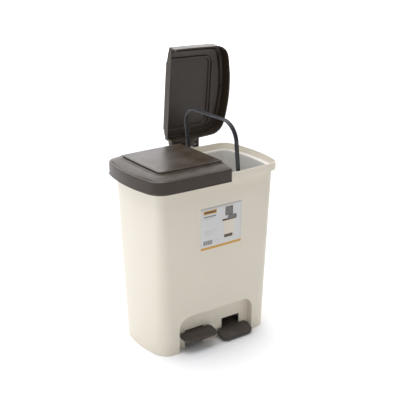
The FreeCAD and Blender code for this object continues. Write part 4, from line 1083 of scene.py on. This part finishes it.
class TRASH_OT_pedals(bpy.types.Operator):
    """Two pedal levers: rounded foot plates, necks, ribs, hubs and rear arms"""
    bl_idname = "trash.pedals"
    bl_label = "Pedals"

    def execute(self, context):
        for side in (LEFT, RIGHT):
            self.pedal(context, side)
        return {"FINISHED"}

    def pedal(self, context, side):
        handle = context.scene.trash_handle
        tag = SIDE_NAME[side]
        low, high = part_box(f"pedal_{tag}")
        x, half, wall = (low.x + high.x) / 2, (high.x - low.x) / 2, handle.pedal_wall
        joint_y = handle.pedal_length - handle.pedal_front
        bottom = PEDAL_PIVOT.z - wall / 2
        bm = bmesh.new()
        self.foot_plate(bm, half, handle)
        place = (Matrix.Translation((x, joint_y, bottom)) @ Matrix.Rotation(handle.pedal_slope, 4, "X")
                 @ Matrix.Translation((0, 0, wall - handle.tread_wall)))
        bmesh.ops.transform(bm, matrix=place, verts=bm.verts[:])
        neck = handle.neck_width / 2
        block(bm, (x - neck, joint_y - 2 * MM, bottom), (x + neck, PEDAL_PIVOT.y, bottom + wall), 0.8 * MM)
        for offset in (-neck + 2 * MM, 0.0, neck - 2 * MM):
            block(bm, (x + offset - 1.2 * MM, joint_y + 6 * MM, bottom - 5 * MM),
                  (x + offset + 1.2 * MM, PEDAL_PIVOT.y, PEDAL_PIVOT.z), 0.4 * MM)
        round_bar(bm, "X", wall + 2 * MM, x - neck + 4 * MM, x + neck - 4 * MM, PEDAL_PIVOT, 0.8 * MM)
        rod_low, rod_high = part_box(f"push_rod_{tag}")
        end = (rod_low.y + rod_high.y) / 2 + 0.2 * MM
        nose, tongue = handle.nose_radius, handle.tongue_half
        block(bm, (x - 7 * MM, PEDAL_PIVOT.y, PEDAL_PIVOT.z - 6 * MM),
              (x + 7 * MM, end - 14 * MM, PEDAL_PIVOT.z + 6 * MM), 1.2 * MM)
        block(bm, (x - tongue, end - 15 * MM, PEDAL_PIVOT.z - nose), (x + tongue, end, PEDAL_PIVOT.z + nose),
              0.5 * MM)
        round_bar(bm, "X", nose, x - tongue, x + tongue, (x, end, PEDAL_PIVOT.z), 0.5 * MM)
        tilt = joint_travel(f"pedal_{tag}_pivot") / 2
        finish_piece(bm, f"pedal_{tag}_lever", f"pedal_{tag}", pedal_plastic(context),
                     replaced=[f"pedal_{tag}"], move=about(PEDAL_PIVOT, "X", side * tilt))

    def foot_plate(self, bm, half, handle):
        """Plate with large front corners, small back corners and soft edges, back edge on Y = 0."""
        reach, wall = handle.pedal_length, handle.tread_wall
        block(bm, (-half, -reach, 0.0), (half, 0.0, wall))
        upright = [edge for edge in bm.edges if abs(edge.verts[0].co.z - edge.verts[1].co.z) > wall / 2]
        front = [edge for edge in upright if edge.verts[0].co.y < -reach / 2]
        back = [edge for edge in upright if edge not in front]
        bmesh.ops.bevel(bm, geom=front, offset=handle.pedal_corner, segments=10, affect="EDGES",
                        profile=0.5, material=-1)
        bmesh.ops.bevel(bm, geom=[edge for edge in back if edge.is_valid], offset=handle.back_corner,
                        segments=8, affect="EDGES", profile=0.5, material=-1)
        caps = [face for face in bm.faces if abs(face.normal.z) > 0.9 and len(face.verts) > 8]
        rims = {edge for face in caps for edge in face.edges}
        bmesh.ops.bevel(bm, geom=list(rims), offset=1.4 * MM, segments=4, affect="EDGES", profile=0.5,
                        material=-1)


# ---------------------------------------------------------------- label

class TRASH_OT_label(bpy.types.Operator):
    """White film on the front with plain blocks, bars and a small drawing of the bin, no lettering"""
    bl_idname = "trash.label"
    bl_label = "Front label"

    def execute(self, context):
        colours = context.scene.trash_colours
        can = context.scene.trash_bin
        low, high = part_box("front_label")
        top, foot = outlines(context)
        ledge = BIN_HIGH.z - can.band_height
        width, tall = high.x - low.x, high.z - low.z

        def front(x, z, lift):
            """Y of the bowed, tapered front, with a lift above it."""
            bow = foot.mixed(top, z / ledge)
            half_depth, radius = bow.values[1], bow.values[3]
            return -(half_depth - radius + math.sqrt(radius ** 2 - x ** 2)) - lift

        def patch(bm, left, bottom, right, upper, lift, slot=0, cells=1, lean=0.0):
            """A patch in shares of the label's width and height, laid on the front."""
            made = bmesh.ops.create_grid(bm, x_segments=cells, y_segments=cells, size=0.5)["verts"]
            faces = {face for vert in made for face in vert.link_faces}
            for face in faces:
                face.material_index = slot
            for vert in made:
                across_share, up_share = vert.co.x + 0.5, vert.co.y + 0.5
                x = low.x + width * (left + (right - left) * across_share)
                x += width * lean * (across_share - 0.5) * (1 - up_share)
                z = low.z + tall * (bottom + (upper - bottom) * up_share)
                vert.co = (x, front(x, z, lift), z)
            return made

        film = plastic("label_film", colours.film, gloss=(0.32, 0.42), grain=1400.0, depth=0.03, wear=0.0,
                       dust=0.0, tone=0.01)
        inks = [plastic(f"label_{name}", getattr(colours, name), gloss=(0.3, 0.42), grain=1400.0, depth=0.02,
                        wear=0.0, dust=0.0, tone=0.04) for name in ("yellow", "brown", "grey", "pale", "bin")]
        bm = bmesh.new()
        patch(bm, 0, 0, 1, 1, 0.05 * MM, cells=16)
        piece = finish_piece(bm, "front_label_film", "frame", film, replaced=["front_label"],
                             outward=False)
        face_front(piece)
        solid = piece.modifiers.new("film", "SOLIDIFY")
        solid.thickness = 0.3 * MM
        solid.offset = 1.0
        yellow, brown, grey, pale, cream = range(5)
        lift = 0.42 * MM
        bm = bmesh.new()
        patch(bm, 0.0, 0.0, 1.0, 0.058, lift, yellow, 8)
        patch(bm, 0.055, 0.845, 0.375, 0.935, lift, yellow, 2)
        patch(bm, 0.075, 0.868, 0.355, 0.912, lift + 0.04 * MM, brown, 2)
        patch(bm, 0.06, 0.775, 0.36, 0.802, lift, grey, 2)
        patch(bm, 0.06, 0.735, 0.32, 0.748, lift, pale, 2)
        for index in range(4):
            patch(bm, 0.06, 0.455 - index * 0.035, 0.40 - 0.05 * index, 0.462 - index * 0.035, lift, pale, 1)
        left = 0.06
        for index in range(13):
            bar = 0.006 + 0.006 * ((index * 5) % 3)
            patch(bm, left, 0.115, left + bar, 0.215, lift, grey, 1)
            left += bar + 0.0055
        patch(bm, 0.30, 0.185, 0.44, 0.195, lift, pale, 1)
        # drawing of the bin: body, foot panel, band, shut lid and open lid
        patch(bm, 0.53, 0.20, 0.85, 0.62, lift, cream, 4, lean=-0.10)
        patch(bm, 0.57, 0.19, 0.78, 0.265, lift + 0.04 * MM, brown, 1)
        patch(bm, 0.515, 0.60, 0.865, 0.645, lift + 0.04 * MM, brown, 4)
        patch(bm, 0.665, 0.625, 0.865, 0.72, lift + 0.08 * MM, grey, 2, lean=0.05)
        patch(bm, 0.59, 0.72, 0.78, 0.93, lift, brown, 2)
        patch(bm, 0.605, 0.735, 0.765, 0.91, lift + 0.04 * MM, grey, 2)
        prints = finish_piece(bm, "front_label_print", "frame", inks, outward=False)
        face_front(prints)
        return {"FINISHED"}


def face_front(piece):
    """Turns every face of a flat piece towards the front."""
    mesh = piece.data
    bm = bmesh.new()
    bm.from_mesh(mesh)
    bm.normal_update()
    bmesh.ops.reverse_faces(bm, faces=[face for face in bm.faces if face.normal.y > 0])
    bm.to_mesh(mesh)
    bm.free()


# ---------------------------------------------------------------- mechanism

class TRASH_OT_mechanism(bpy.types.Operator):
    """Finishes for the parts that keep their engineered shape: bracket, cover, pins, rods and screws"""
    bl_idname = "trash.mechanism"
    bl_label = "Mechanism"

    def execute(self, context):
        colours = context.scene.trash_colours
        along_x, along_z = (0.05, 1.0, 1.0), (1.0, 1.0, 0.05)
        finishes = {
            "hinge_bracket": pedal_plastic(context),
            "rear_cover": bin_plastic(context),
            "pedal_axle": metal("axle_steel", colours.steel, along_x),
            "axle_caps": metal("cap_steel", shade(colours.steel, 0.8)[:3], along_x),
            "hinge_bracket_screws": metal("screw_steel", colours.steel, (1.0, 0.2, 1.0)),
            "rear_cover_screws": metal("screw_steel", colours.steel, (1.0, 0.2, 1.0)),
        }
        for tag in SIDE_NAME.values():
            finishes[f"hinge_pin_{tag}"] = metal("pin_steel", colours.steel, along_x)
            finishes[f"clevis_pins_{tag}"] = metal("pin_steel", colours.steel, along_x)
            finishes[f"push_rod_{tag}"] = metal("rod_steel", colours.steel, along_z)
            finishes[f"rod_clevises_{tag}"] = plastic("clevis_plastic", colours.acetal, gloss=(0.3, 0.45))
            finishes[f"lid_bumpers_{tag}"] = plastic("bumper_rubber", colours.rubber, gloss=(0.6, 0.8),
                                                     depth=0.2)
        for node, material in finishes.items():
            mesh = frame["nodes"][node].data
            mesh.materials.clear()
            mesh.materials.append(material)
        return {"FINISHED"}


# ---------------------------------------------------------------- stage

class TRASH_OT_stage(bpy.types.Operator):
    """Pale floor, soft studio lights and the camera"""
    bl_idname = "trash.stage"
    bl_label = "Stage"

    def execute(self, context):
        stage = context.scene.trash_stage
        floor = self.sheet(context, "floor", Matrix.Scale(9.0, 4), self.floor_material(stage))
        self.backdrop(context, stage)
        self.light(context, "key", (-2.6, 0.1, 1.5), 2.0, stage.key_power, stage.key_colour)
        self.light(context, "top", (-0.4, 0.3, 2.9), 3.0, stage.top_power, stage.top_colour)
        world = bpy.data.worlds.new("studio")
        world.use_nodes = True
        world.node_tree.nodes["Background"].inputs["Color"].default_value = (1.0, 1.0, 1.0, 1.0)
        world.node_tree.nodes["Background"].inputs["Strength"].default_value = stage.sky
        context.scene.world = world
        context.scene.view_settings.view_transform = "Standard"
        self.camera(context, stage)
        return {"FINISHED"}

    def backdrop(self, context, stage):
        """A white lit wall behind the object, square to the camera's azimuth."""
        middle = Matrix.Translation((0.0, stage.backdrop_distance, 2.4))
        place = (Matrix.Rotation(stage.azimuth, 4, "Z") @ middle @ Matrix.Rotation(math.pi / 2, 4, "X")
                 @ Matrix.Diagonal((6.0, 2.5, 1.0, 1.0)))
        material, _, shader = new_material("backdrop")
        shader.inputs["Base Color"].default_value = (0.9, 0.9, 0.9, 1.0)
        shader.inputs["Emission Color"].default_value = (1.0, 1.0, 1.0, 1.0)
        shader.inputs["Emission Strength"].default_value = stage.backdrop
        wall = self.sheet(context, "backdrop", place, material)

    def sheet(self, context, name, place, material):
        """A flat sheet of the stage, two units wide before it is placed."""
        bm = bmesh.new()
        bmesh.ops.create_grid(bm, x_segments=1, y_segments=1, size=1.0, matrix=place)
        mesh = bpy.data.meshes.new(name)
        bm.to_mesh(mesh)
        bm.free()
        mesh.materials.append(material)
        flat = bpy.data.objects.new(name, mesh)
        context.collection.objects.link(flat)
        return flat

    def floor_material(self, stage):
        material, tree, shader = new_material("floor")
        clouds = noise(tree, object_place(tree), 3.0, 4.0, 0.5)
        base = mix_colour(tree, clouds, shade(stage.floor, 0.99), shade(stage.floor, 1.01))
        tree.links.new(base, shader.inputs["Base Color"])
        shader.inputs["Roughness"].default_value = 0.7
        return material

    def light(self, context, name, place, size, power, tint):
        data = bpy.data.lights.new(name, "AREA")
        data.shape = "DISK"
        data.size = size
        data.energy = power
        data.color = tint[:3]
        lamp = bpy.data.objects.new(name, data)
        lamp.location = place
        lamp.rotation_euler = (Vector((0, 0, 0.25)) - Vector(place)).to_track_quat("-Z", "Y").to_euler()
        context.collection.objects.link(lamp)

    def camera(self, context, stage):
        flat = math.cos(stage.elevation)
        back = Vector((math.sin(stage.azimuth) * flat, -math.cos(stage.azimuth) * flat,
                       math.sin(stage.elevation)))
        data = bpy.data.cameras.new("camera")
        data.lens = stage.lens
        data.shift_x, data.shift_y = stage.shift
        camera = bpy.data.objects.new("camera", data)
        camera.location = Vector(stage.target) + back * stage.distance
        camera.rotation_euler = (-back).to_track_quat("-Z", "Y").to_euler()
        context.collection.objects.link(camera)
        context.scene.camera = camera


# ---------------------------------------------------------------- panel and registration

STEPS = (TRASH_OT_outer_bin, TRASH_OT_buckets, TRASH_OT_lids, TRASH_OT_handles, TRASH_OT_pedals,
         TRASH_OT_label, TRASH_OT_mechanism, TRASH_OT_stage)
GROUPS = {"trash_bin": BinSizes, "trash_lid": LidSizes, "trash_handle": HandleSizes,
          "trash_colours": FinishColours, "trash_stage": StageSettings}


class TRASH_PT_panel(bpy.types.Panel):
    """Sizes, colours and building steps of the trash can"""
    bl_idname = "TRASH_PT_panel"
    bl_label = "Pedal trash can"
    bl_space_type = "VIEW_3D"
    bl_region_type = "UI"
    bl_category = "Trash can"

    def draw(self, context):
        for step in STEPS:
            self.layout.operator(step.bl_idname)
        for name in GROUPS:
            box = self.layout.box()
            settings = getattr(context.scene, name)
            for prop in settings.bl_rna.properties:
                if prop.identifier not in {"rna_type", "name"}:
                    box.prop(settings, prop.identifier)


def register():
    for cls in (*GROUPS.values(), *STEPS, TRASH_PT_panel):
        bpy.utils.register_class(cls)
    for name, cls in GROUPS.items():
        setattr(bpy.types.Scene, name, PointerProperty(type=cls))


def unregister():
    for name in GROUPS:
        delattr(bpy.types.Scene, name)
    for cls in reversed((*GROUPS.values(), *STEPS, TRASH_PT_panel)):
        bpy.utils.unregister_class(cls)


def main():
    register()
    bpy.ops.trash.outer_bin()
    bpy.ops.trash.buckets()
    bpy.ops.trash.lids()
    bpy.ops.trash.handles()
    bpy.ops.trash.pedals()
    bpy.ops.trash.label()
    bpy.ops.trash.mechanism()
    bpy.ops.trash.stage()
    bpy.context.view_layer.update()


if __name__ == "__main__":
    main()
